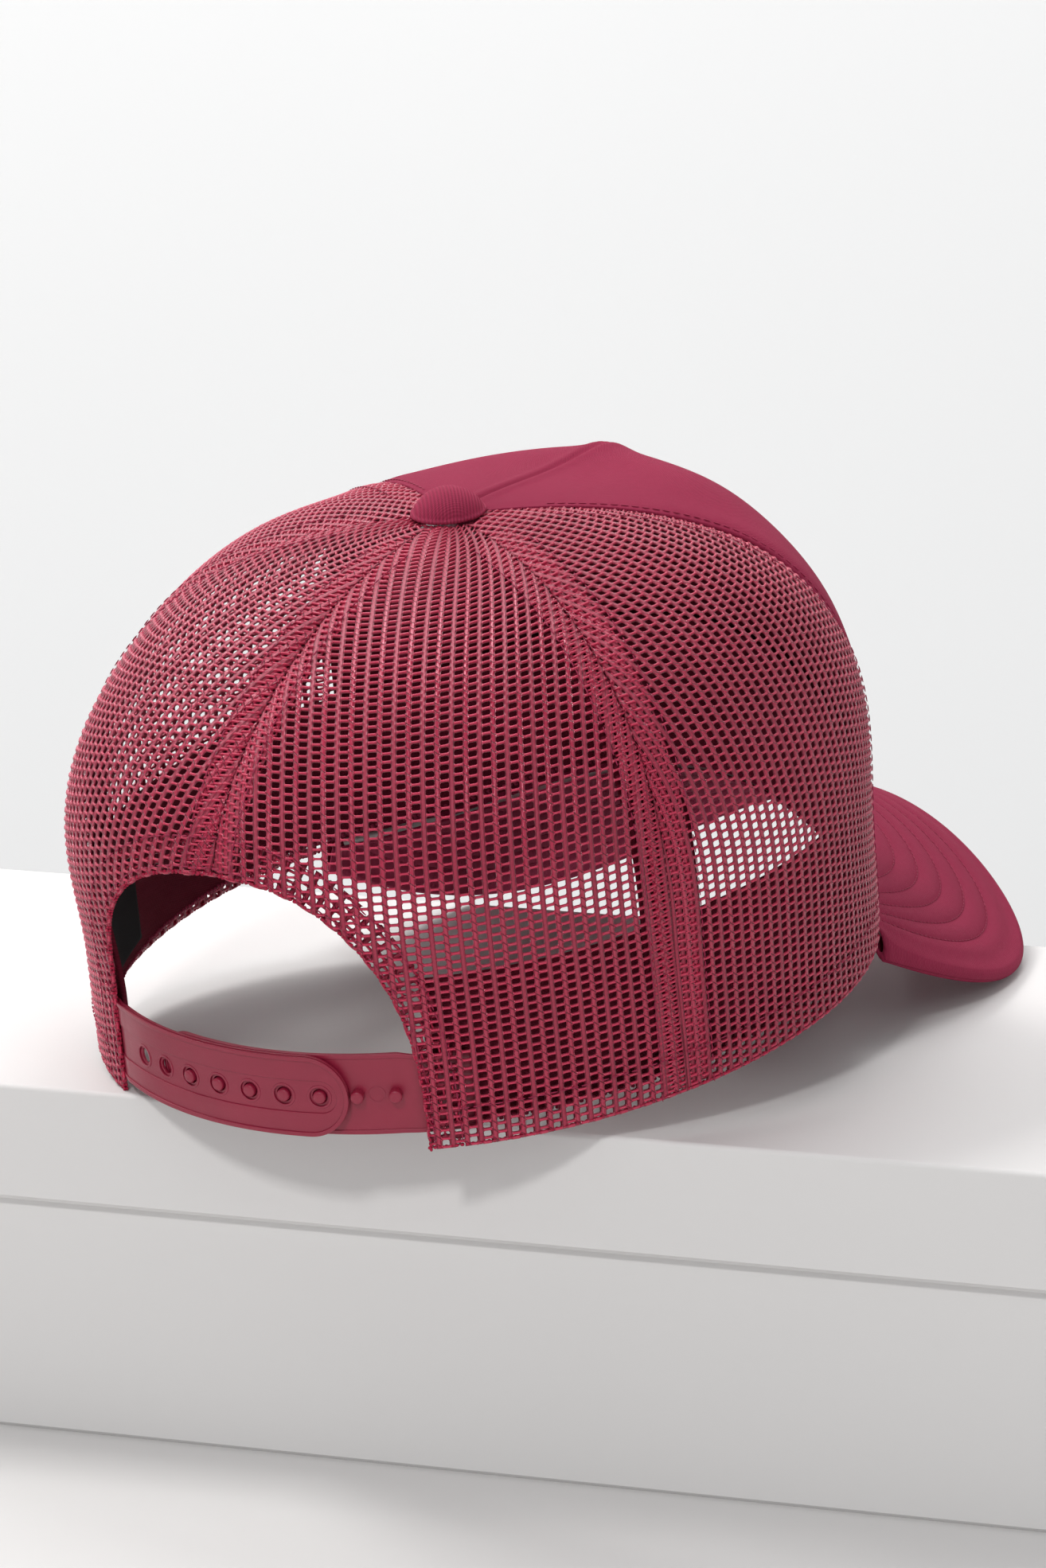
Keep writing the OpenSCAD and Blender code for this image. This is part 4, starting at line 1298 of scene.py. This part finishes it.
def make_button(crown):
    """Cloth covered dome with its edge turned in underneath."""
    sizes = bpy.context.scene.cap_sizes
    radius, height = sizes.button_radius / MM, sizes.button_height / MM
    ball = (radius**2 + height**2) / (2 * height)
    angle = np.linspace(0, math.asin(min(1, radius / ball)) if height <= radius else math.pi / 2, 26)
    dome = [(ball * math.sin(a), 0.3 + height - ball + ball * math.cos(a)) for a in angle[:-2]]
    lip = [(radius + 0.1, 1.0), (radius + 0.25, 0.55), (radius, 0.2), (radius - 0.7, 0.1)]
    lip += [(radius * 0.6, 0.12), (radius * 0.3, 0.15)]
    profile = dome + lip
    steps = 96
    points = [(0, 0, profile[0][1])]
    for r, z in profile[1:]:
        for i in range(steps):
            a = 2 * math.pi * i / steps
            fold = 1 + 0.006 * math.sin(9 * a) * (1 if z < 1.4 else 0)
            points.append((r * fold * math.cos(a), r * fold * math.sin(a), z))
    points.append((0, 0, profile[-1][1]))
    faces = [(0, 1 + i, 1 + (i + 1) % steps) for i in range(steps)]
    for k in range(len(profile) - 2):
        a, b = 1 + k * steps, 1 + (k + 1) * steps
        faces += [(a + i, b + i, b + (i + 1) % steps, a + (i + 1) % steps) for i in range(steps)]
    last = 1 + (len(profile) - 2) * steps
    faces += [(last + (i + 1) % steps, last + i, len(points) - 1) for i in range(steps)]
    at = np.array(points) + np.array([0, crown.button_back, crown.height])
    mesh = bpy.data.meshes.new("button_cap_cloth")
    mesh.from_pydata(to_row(at).tolist(), [], faces)
    obj = link(mesh, "button_cap_cloth", finish("Button cord"))
    finished(obj, "cap", "button_cap", slot="button_cloth")


# ---------------------------------------------------------------- snap straps


def plate(outline, holes, low, high, bevel=0.12):
    """Flat moulded plate between two heights with a small rounded edge, in millimetres."""
    curve = bpy.data.curves.new("plate", "CURVE")
    curve.dimensions = "2D"
    curve.fill_mode = "BOTH"
    for path in [outline] + holes:
        spline = curve.splines.new("POLY")
        spline.points.add(len(path) - 1)
        for p, (x, y) in zip(spline.points, path):
            p.co = (x, y, 0, 1)
        spline.use_cyclic_u = True
    curve.extrude = (high - low) / 2 - bevel
    curve.bevel_depth = bevel
    curve.offset = -bevel
    curve.bevel_resolution = 2
    obj = link(curve, "plate")
    bpy.context.view_layer.update()
    mesh = bpy.data.meshes.new_from_object(obj.evaluated_get(bpy.context.evaluated_depsgraph_get()))
    bpy.data.objects.remove(obj)
    mesh.transform(Matrix.Translation((0, 0, (low + high) / 2)))
    return mesh


def ring(x, radius, steps=40):
    """Points round a hole on the strap's centre line."""
    a = np.linspace(0, 2 * np.pi, steps, endpoint=False)
    return [(x + radius * math.cos(t), radius * math.sin(t)) for t in a]


def tongue(root, end, half, toward):
    """Outline of a strip from root with a round end; toward is the direction of the end, 1 or -1."""
    a = np.linspace(-np.pi / 2, np.pi / 2, 41)
    tip = [(end + toward * half * (math.cos(t) - 1), half * math.sin(t)) for t in a]
    return [(root, -half)] + tip + [(root, half)]


def peg_mesh(bm, x, low, high, radius):
    """A round peg with a domed end."""
    steps = 28
    profile = [(1.0, low), (1.0, high - 0.55), (0.97, high - 0.3)]
    profile += [(0.85, high - 0.1), (0.55, high), (0.2, high + 0.03)]
    turns = [2 * math.pi * i / steps for i in range(steps)]
    rings = []
    for share, z in profile:
        r = radius * share
        rings.append([bm.verts.new((x + r * math.cos(a), r * math.sin(a), z)) for a in turns])
    for a, b in zip(rings[:-1], rings[1:]):
        for i in range(steps):
            j = (i + 1) % steps
            bm.faces.new((a[i], a[j], b[j], b[i]))
    bm.faces.new(list(reversed(rings[0])))
    bm.faces.new(rings[-1])


def strap_place(crown, points, hinge, lift, circle):
    """Bends flat strap points (run, height, depth) onto the strap's circle and its sewn root."""
    s, z, d = points[:, 0], points[:, 1] + lift, points[:, 2]
    angle = s / circle
    r = circle + d
    on_circle = np.stack([-r * np.sin(angle), crown.back - circle + r * np.cos(angle), z], -1)
    phi = crown.angle_at(s)
    on_crown = crown.point(phi, crown.rise(phi, z), d, False)
    share = ease((np.abs(s) - (hinge - 2)) / 5)[:, None]
    return on_circle * (1 - share) + on_crown * share


def hole_plates(at, root, end, half, hinge, peg):
    """Layers of the strap with holes: its web, the recess, the channel, its rim and the rims of the holes."""
    tip = tongue(-root, end, half, 1)
    low = half - 0.25
    channel = tongue(-hinge - 9, at[6] + 3.9, 3.75, 1)
    inner = tongue(-root + 0.9, end - 1.0, half - 1.0, 1)
    return [
        plate(tip, [ring(s, peg + 0.22) for s in at[:7]], -1.5, -0.85),
        plate(tongue(-root, end - 0.1, low, 1), [ring(s, 2.3) for s in at[:7]], -0.95, -0.55),
        plate(tongue(-root, end - 0.15, low - 0.1, 1), [channel], -0.65, -0.3),
        plate(tip, [inner], -0.45, 0.0, 0.15),
        *(plate(ring(s, 2.75), [ring(s, 2.2)], -0.75, -0.42, 0.1) for s in at[:7]),
    ]


def peg_plates(at, root, half):
    """Layers of the strap with pegs: its web and its raised rim."""
    free = at[2] - 1.2 - half
    tip = tongue(root, free, half, -1)
    rim = tongue(root - 0.9, free + 1.0, half - 1.0, -1)
    return [plate(tip, [], -2.85, -2.0), plate(tip, [rim], -2.2, -1.78, 0.15)]


def make_straps(crown):
    """The two snap straps: flat mouldings bent onto the closure's circle, with their roots on the cap."""
    sizes = bpy.context.scene.cap_sizes
    circle = crown.half_width**2 / crown.back
    hinge = crown.opening_half - 4
    lift, half = sizes.strap_lift / MM, sizes.strap_width / MM / 2
    pitch, peg = sizes.snap_pitch / MM, sizes.peg_radius / MM
    at = [3.4 + pitch * (k - 4) for k in range(9)]
    root = hinge + 15.5
    end = at[6] - 3 + half + 0.2
    root_sink, bend_depth, weld_gap = 1.0, -2.3, 1e-4
    straps = (
        ("hole_strap", -1, hole_plates(at, root, end, half, hinge, peg)),
        ("peg_strap", 1, peg_plates(at, root, half)),
    )
    for body, sign, plates in straps:
        bm = bmesh.new()
        for mesh in plates:
            bm.from_mesh(mesh)
            bpy.data.meshes.remove(mesh)
        bmesh.ops.remove_doubles(bm, verts=bm.verts, dist=weld_gap)
        if body == "peg_strap":
            for s in at[2:]:
                peg_mesh(bm, s, -2.3, 0.15, peg)
            mark = (at[7] + at[8]) / 2
            bm.from_mesh(plate(ring(mark, 1.9), [ring(mark, 1.6)], -2.1, -1.94, 0.04))
            bmesh.ops.remove_doubles(bm, verts=bm.verts, dist=weld_gap)
        for x in [*np.arange(-60, 60, 1.5), *(sign * np.arange(35.25, 44, 0.75))]:
            every = bm.verts[:] + bm.edges[:] + bm.faces[:]
            bmesh.ops.bisect_plane(bm, geom=every, plane_co=(float(x), 0, 0), plane_no=(1, 0, 0), dist=1e-5)
        bmesh.ops.triangulate(bm, faces=[f for f in bm.faces if len(f.verts) > 4])
        bmesh.ops.recalc_face_normals(bm, faces=bm.faces)
        flat = np.array([v.co[:] for v in bm.verts])
        if body == "hole_strap":
            flat[:, 2] -= root_sink * ease((np.abs(flat[:, 0]) - (hinge - 1)) / 6)
        for v, p in zip(bm.verts, to_row(strap_place(crown, flat, hinge, lift, circle))):
            v.co = p
        mesh = bpy.data.meshes.new(body + "_moulding")
        bm.to_mesh(mesh)
        bm.free()
        obj = link(mesh, body + "_moulding", finish("Snap plastic"))
        for p in mesh.polygons:
            p.use_smooth = True
        mesh.set_sharp_from_angle(angle=math.radians(38))
        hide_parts(body, body + "_tab")
        bend = np.array([[sign * (hinge + side), 0, bend_depth] for side in (2, -2)])
        a, b = to_row(strap_place(crown, bend, hinge, lift, circle))
        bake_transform(obj)


# ---------------------------------------------------------------- topstitching


def make_stitching(crown):
    """Stitches beside the seams, round the opening and hems, over the folded edges and on the visor."""
    thread = finish("Thread")
    beside, on_top = 6.2, 0.12
    paths = []

    def seam_line(phi, gap, low_z):
        u = np.linspace(float(crown.rise(phi, low_z)), 0.93, 120)
        angle = phi + gap / crown.spread(phi, u, 0.05) * 180 / np.pi
        paths.append(to_row(crown.point(angle, u, on_top)))

    def level_line(angles, z, off):
        return to_row(crown.point(angles, crown.rise(angles, z), off))

    for side in (1, -1):
        seam_line(0.0, side * beside, crown.opening_height + 2)
        for seam, low_z, gaps in (
            (crown.side_seam, 0.8, (-beside, beside)),
            (crown.front_seam, 8.0, (-beside, 1.6)),
        ):
            for gap in gaps:
                seam_line(side * seam, side * gap, low_z)
        p = np.linspace(crown.angle_at(crown.opening_half + 8.5), crown.visor_angle - 1, 160) * side
        paths.append(level_line(p, 9.2, on_top))
    t = np.linspace(-89, 89, 260)
    paths += [to_row(crown.arch_point(t, into, on_top)) for into in (7.2, 1.3)]
    t = np.linspace(-90, 90, 400)
    edges = [to_row(crown.arch_point(t, into, off)) for into, off in ((0.25, -0.45), (0.1, -0.95))]
    for side in (1, -1):
        p = np.linspace(crown.angle_at(crown.opening_half), crown.visor_angle - 0.5, 500) * side
        edges += [level_line(p, z, off) for z, off in ((0.45, -0.4), (0.3, -0.95))]
    stitched(edges, "folded_edge_yarn", finish("Edge yarn"), 0.00115, 0.00036)
    stitched(paths, "crown_topstitching", thread, 0.0024, 0.00017)
    v = np.linspace(-1, 1, 700)
    length = visor_length_at(crown, v)
    paths = []
    for d in visor_rows_at():
        keep = length > d + 0.6
        w = 1 - d / length[keep]
        paths += [to_row(crown.visor_point(v[keep], w, face * 1.46)) for face in (1, -1)]
    stitched(paths, "visor_topstitching", thread, 0.0024, 0.00015)


def make_fittings():
    """The metal parts keep their solids and get their finish."""
    for node in ("button_rivet", "button_washer"):
        solid = frame["nodes"][node]
        solid.data.materials.clear()
        solid.data.materials.append(finish("Button metal"))


# ---------------------------------------------------------------- stage and camera


def make_stage():
    """Painted ledge, backdrop, lights and the room's own light."""
    looks = bpy.context.scene.cap_looks
    mat, tree, shader = new_material("Painted ledge")
    where = object_place(tree)
    mottled = noise(tree, where, 6, 4)
    coloured(tree, shader, mottled, shade(looks.ground, 0.97), shade(looks.ground, 1.02))
    shader.inputs["Roughness"].default_value = 0.6
    bumped(tree, shader, noise(tree, where, 300, 3), 0.05, 0.0005)
    near, far, thick, tall, recess = 0.1027, -0.098, 0.0265, 0.081, 0.0035
    ledge_turn, wall_turn, wall_back = math.radians(18.17), math.radians(33), -1.5
    bm = bmesh.new()

    def block(front, top, bottom, r):
        """A long block with a rounded upper front edge; front is its distance towards the viewer."""
        turns = np.linspace(0, math.pi / 2, 8)
        rounded = [(front - r + r * math.sin(a), top - r + r * math.cos(a)) for a in turns]
        profile = [(far, bottom), (far, top)] + rounded + [(front, bottom + 0.001), (front - 0.001, bottom)]
        ends = [[bm.verts.new((x, y, z)) for y, z in profile] for x in (-3.0, 3.0)]
        n = len(profile)
        for i in range(n):
            j = (i + 1) % n
            bm.faces.new((ends[0][i], ends[0][j], ends[1][j], ends[1][i]))
        bm.faces.new(ends[0])
        bm.faces.new(list(reversed(ends[1])))

    block(near, 0.0, -thick, 0.0012)
    block(near - recess, -thick, -tall, 0.0008)
    block(near + 2.0, -tall, -tall - 0.1, 0.01)
    bmesh.ops.recalc_face_normals(bm, faces=bm.faces)
    mesh = bpy.data.meshes.new("ledge")
    bm.to_mesh(mesh)
    bm.free()
    ledge = link(mesh, "ledge", mat)
    ledge.matrix_world = Matrix.Rotation(ledge_turn, 4, "Z")
    mat, tree, shader = new_material("Backdrop paper")
    mottled = noise(tree, object_place(tree), 1.5, 3)
    coloured(tree, shader, mottled, shade(looks.backdrop, 0.98), shade(looks.backdrop, 1.02))
    shader.inputs["Roughness"].default_value = 0.9
    shader.inputs["Emission Color"].default_value = (1, 1, 1, 1)
    shader.inputs["Emission Strength"].default_value = 0.22
    mesh = bpy.data.meshes.new("backdrop")
    mesh.from_pydata([(-4, 0, -1.5), (4, 0, -1.5), (4, 0, 4), (-4, 0, 4)], [], [(0, 1, 2, 3)])
    backdrop = link(mesh, "backdrop", mat)
    backdrop.matrix_world = Matrix.Rotation(wall_turn, 4, "Z") @ Matrix.Translation((0, wall_back, 0))
    lamp("key_light", (1.35, 0.15, 1.9), (0, 0.02, 0.05), (0.6, 0.6), 29, (1.0, 0.99, 0.97))
    lamp("front_light", (-0.35, 1.5, 1.15), (0, 0, 0.05), (0.18, 0.18), 11.0, (1.0, 0.99, 0.98))
    lamp("top_light", (0.1, -0.5, 1.5), (0, 0, 0.05), (0.45, 0.3), 2.6, (1.0, 1.0, 1.0))
    lamp("fill_light", (-1.6, 1.0, 0.9), (0, 0, 0.05), (1.4, 1.4), 3.6, (0.97, 0.98, 1.0))
    lamp("wall_light", (0.9, -0.5, 1.9), (0.9, -1.6, 0.5), (2.6, 1.0), 24, (1.0, 1.0, 1.0))
    world = bpy.data.worlds.new("Room")
    world.use_nodes = True
    world.node_tree.nodes["Background"].inputs["Color"].default_value = (0.86, 0.87, 0.88, 1)
    world.node_tree.nodes["Background"].inputs["Strength"].default_value = 0.46
    bpy.context.scene.world = world
    bpy.context.scene.view_settings.view_transform = "Standard"


def lamp(name, at, aim, size, watts, colour):
    """A rectangular light at one place, aimed at another."""
    light = bpy.data.lights.new(name, "AREA")
    light.shape = "RECTANGLE"
    light.size, light.size_y = size
    light.energy = watts
    light.color = colour
    obj = link(light, name)
    obj.location = at
    obj.rotation_euler = (Vector(aim) - Vector(at)).to_track_quat("-Z", "Y").to_euler()


def make_camera():
    """Camera behind the cap's right side, aimed in the cap's own frame."""
    a, e, roll = (math.radians(d) for d in (214.205, 20.406, -5.403))
    distance, aim_height = 1122.6, 60
    back = Vector((math.sin(a) * math.cos(e), -math.cos(a) * math.cos(e), math.sin(e)))
    right = Vector((math.cos(a), math.sin(a), 0))
    up = back.cross(right)
    side = math.cos(roll) * right + math.sin(roll) * up
    top = -math.sin(roll) * right + math.cos(roll) * up
    turn = resting_place()
    spot = turn @ ((Vector((0, 0, aim_height)) + back * distance) * MM)
    spin = turn.to_3x3()
    axes = [spin @ side, spin @ top, spin @ back]
    camera = link(bpy.data.cameras.new("camera"), "camera")
    camera.matrix_world = Matrix([[*(ax[i] for ax in axes), spot[i]] for i in range(3)] + [[0, 0, 0, 1]])
    camera.data.sensor_width = 36
    camera.data.sensor_fit = "AUTO"
    camera.data.lens = 113.3
    camera.data.shift_x = 0.0296
    camera.data.shift_y = -0.0426
    camera.data.clip_start = 0.05
    bpy.context.scene.camera = camera


# ---------------------------------------------------------------- settings


def length_setting(name, text, default):
    return bpy.props.FloatProperty(name=name, description=text, default=default, unit="LENGTH", precision=4)


def angle_setting(name, text, degrees):
    angle = math.radians(degrees)
    return bpy.props.FloatProperty(name=name, description=text, default=angle, subtype="ANGLE")


def colour_setting(name, text, default):
    return bpy.props.FloatVectorProperty(
        name=name, description=text, default=default, subtype="COLOR", size=3, min=0, max=1
    )


class CapSizes(bpy.types.PropertyGroup):
    """Sizes of the cap."""

    half_width: length_setting("Crown half width", "Half the width of the crown at the rim", 0.0865)
    back: length_setting("Crown back", "From the centre to the rear of the rim", 0.105)
    front: length_setting("Crown front", "From the centre to the front of the rim", 0.0935)
    height: length_setting("Crown height", "From the rim to the button", 0.110)
    button_back: length_setting("Button set back", "How far behind the centre the button sits", 0.0035)
    peak: length_setting("Peak", "Rise of the pinched front over the button", 0.0069)
    pillow: length_setting("Panel bulge", "Bulge of each panel between its seams", 0.0015)
    side_seam: angle_setting("Side seam", "Angle of the side seams from the rear", 63.8)
    front_seam: angle_setting("Front seam", "Angle of the front seams from the rear", 125.2)
    opening_half_width: length_setting("Opening half width", "Half the rear opening along the rim", 0.043)
    opening_height: length_setting("Opening height", "Height of the rear opening", 0.0628)
    visor_length: length_setting("Visor length", "From the crown to the tip of the visor", 0.074)
    visor_angle: angle_setting("Visor corner", "Angle of the visor's corners from the rear", 117.2)
    visor_bend: length_setting("Visor bend", "Radius of the visor's curve", 0.080)
    visor_slope: angle_setting("Visor slope", "How far the visor points down", 27)
    strap_width: length_setting("Strap width", "Width of the snap straps", 0.0186)
    strap_lift: length_setting("Strap height", "Height of the straps' centre line over the rim", 0.0129)
    snap_pitch: length_setting("Snap pitch", "Distance from hole to hole", 0.00835)
    peg_radius: length_setting("Peg radius", "Radius of a snap peg", 0.00145)
    button_radius: length_setting("Button radius", "Radius of the top button", 0.0084)
    button_height: length_setting("Button height", "Height of the top button", 0.006)
    column_pitch: length_setting("Mesh column pitch", "Width of one column of the knitted mesh", 0.00307)
    row_pitch: length_setting("Mesh row pitch", "Height of one row of the knitted mesh", 0.00197)
    hole_width: length_setting("Mesh hole width", "Width of a hole in the mesh", 0.00194)
    hole_height: length_setting("Mesh hole height", "Height of a hole in the mesh", 0.00149)
    stitch_rows: bpy.props.IntProperty(
        name="Visor stitch rows", description="Rows of stitching on the visor", default=6
    )
    stitch_first: length_setting("First visor row", "Distance of the first row from the visor's edge", 0.0125)
    stitch_gap: length_setting("Visor row gap", "Distance between rows of stitching", 0.0073)


class CapLooks(bpy.types.PropertyGroup):
    """Colours of the cap."""

    cloth: colour_setting("Front and visor", "Twill of the front, visor and button", (0.25, 0.014, 0.05))
    mesh: colour_setting("Mesh", "Yarn of the knitted mesh", (0.40, 0.009, 0.048))
    mesh_glow: colour_setting("Mesh glow", "Light caught by the yarn", (1.0, 0.62, 0.7))
    # Lining: a maroon of its own, darkened further as painted shade for the shadowed inside of the cap
    # (sweatband, seam tapes and backing).
    lining: colour_setting("Lining", "Sweatband and seam tape", (0.13, 0.006, 0.02))
    plastic: colour_setting("Straps", "Plastic of the straps", (0.25, 0.009, 0.035))
    label: colour_setting("Label", "Woven label inside", (0.012, 0.012, 0.013))
    ground: colour_setting("Ledge", "Ledge the cap stands on", (0.69, 0.68, 0.675))
    backdrop: colour_setting("Backdrop", "Wall behind the cap", (0.82, 0.82, 0.82))


# ---------------------------------------------------------------- operators


class CAP_OT_front(bpy.types.Operator):
    """Builds the cloth front panel and its backing"""

    bl_idname = "cap.front"
    bl_label = "Front panel"

    def execute(self, context):
        make_front(Crown())
        return {"FINISHED"}


class CAP_OT_mesh(bpy.types.Operator):
    """Knits the four mesh panels"""

    bl_idname = "cap.mesh"
    bl_label = "Mesh panels"

    def execute(self, context):
        make_mesh_panels(Crown())
        return {"FINISHED"}


class CAP_OT_edges(bpy.types.Operator):
    """Folds the mesh round the rear opening and the lower edge"""

    bl_idname = "cap.edges"
    bl_label = "Folded edges"

    def execute(self, context):
        make_edges(Crown())
        return {"FINISHED"}


class CAP_OT_tapes(bpy.types.Operator):
    """Lays the tape behind each seam"""

    bl_idname = "cap.tapes"
    bl_label = "Seam tapes"

    def execute(self, context):
        make_tapes(Crown())
        return {"FINISHED"}


class CAP_OT_sweatband(bpy.types.Operator):
    """Sews the sweatband and its blank label"""

    bl_idname = "cap.sweatband"
    bl_label = "Sweatband"

    def execute(self, context):
        make_sweatband(Crown())
        return {"FINISHED"}


class CAP_OT_visor(bpy.types.Operator):
    """Covers the visor board in cloth"""

    bl_idname = "cap.visor"
    bl_label = "Visor"

    def execute(self, context):
        make_visor(Crown())
        make_board(Crown())
        return {"FINISHED"}


class CAP_OT_button(bpy.types.Operator):
    """Makes the covered button and finishes its metal parts"""

    bl_idname = "cap.button"
    bl_label = "Button and fittings"

    def execute(self, context):
        make_button(Crown())
        make_fittings()
        return {"FINISHED"}


class CAP_OT_straps(bpy.types.Operator):
    """Moulds the two snap straps"""

    bl_idname = "cap.straps"
    bl_label = "Snap straps"

    def execute(self, context):
        make_straps(Crown())
        return {"FINISHED"}


class CAP_OT_stitching(bpy.types.Operator):
    """Runs the topstitching"""

    bl_idname = "cap.stitching"
    bl_label = "Topstitching"

    def execute(self, context):
        make_stitching(Crown())
        return {"FINISHED"}


class CAP_OT_stage(bpy.types.Operator):
    """Sets up the ledge, backdrop, lights and camera"""

    bl_idname = "cap.stage"
    bl_label = "Stage"

    def execute(self, context):
        make_stage()
        make_camera()
        return {"FINISHED"}


STEPS = (
    CAP_OT_front, CAP_OT_mesh, CAP_OT_edges, CAP_OT_tapes, CAP_OT_sweatband, CAP_OT_visor,
    CAP_OT_button, CAP_OT_straps, CAP_OT_stitching, CAP_OT_stage,
)


class CAP_PT_panel(bpy.types.Panel):
    """Sizes, colours and building steps of the cap"""

    bl_idname = "CAP_PT_panel"
    bl_label = "Mesh back cap"
    bl_space_type = "VIEW_3D"
    bl_region_type = "UI"
    bl_category = "Cap"

    def draw(self, context):
        layout = self.layout
        for group in (context.scene.cap_sizes, context.scene.cap_looks):
            column = layout.column(align=True)
            for name in group.__annotations__:
                column.prop(group, name)
        column = layout.column()
        for step in STEPS:
            column.operator(step.bl_idname)


CLASSES = (CapSizes, CapLooks, *STEPS, CAP_PT_panel)


def register():
    for cls in CLASSES:
        bpy.utils.register_class(cls)
    bpy.types.Scene.cap_sizes = bpy.props.PointerProperty(type=CapSizes)
    bpy.types.Scene.cap_looks = bpy.props.PointerProperty(type=CapLooks)


def unregister():
    del bpy.types.Scene.cap_looks
    del bpy.types.Scene.cap_sizes
    for cls in reversed(CLASSES):
        bpy.utils.unregister_class(cls)


def main():
    register()
    for step in STEPS:
        group, name = step.bl_idname.split(".")
        getattr(getattr(bpy.ops, group), name)()
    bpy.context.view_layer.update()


if __name__ == "__main__":
    main()
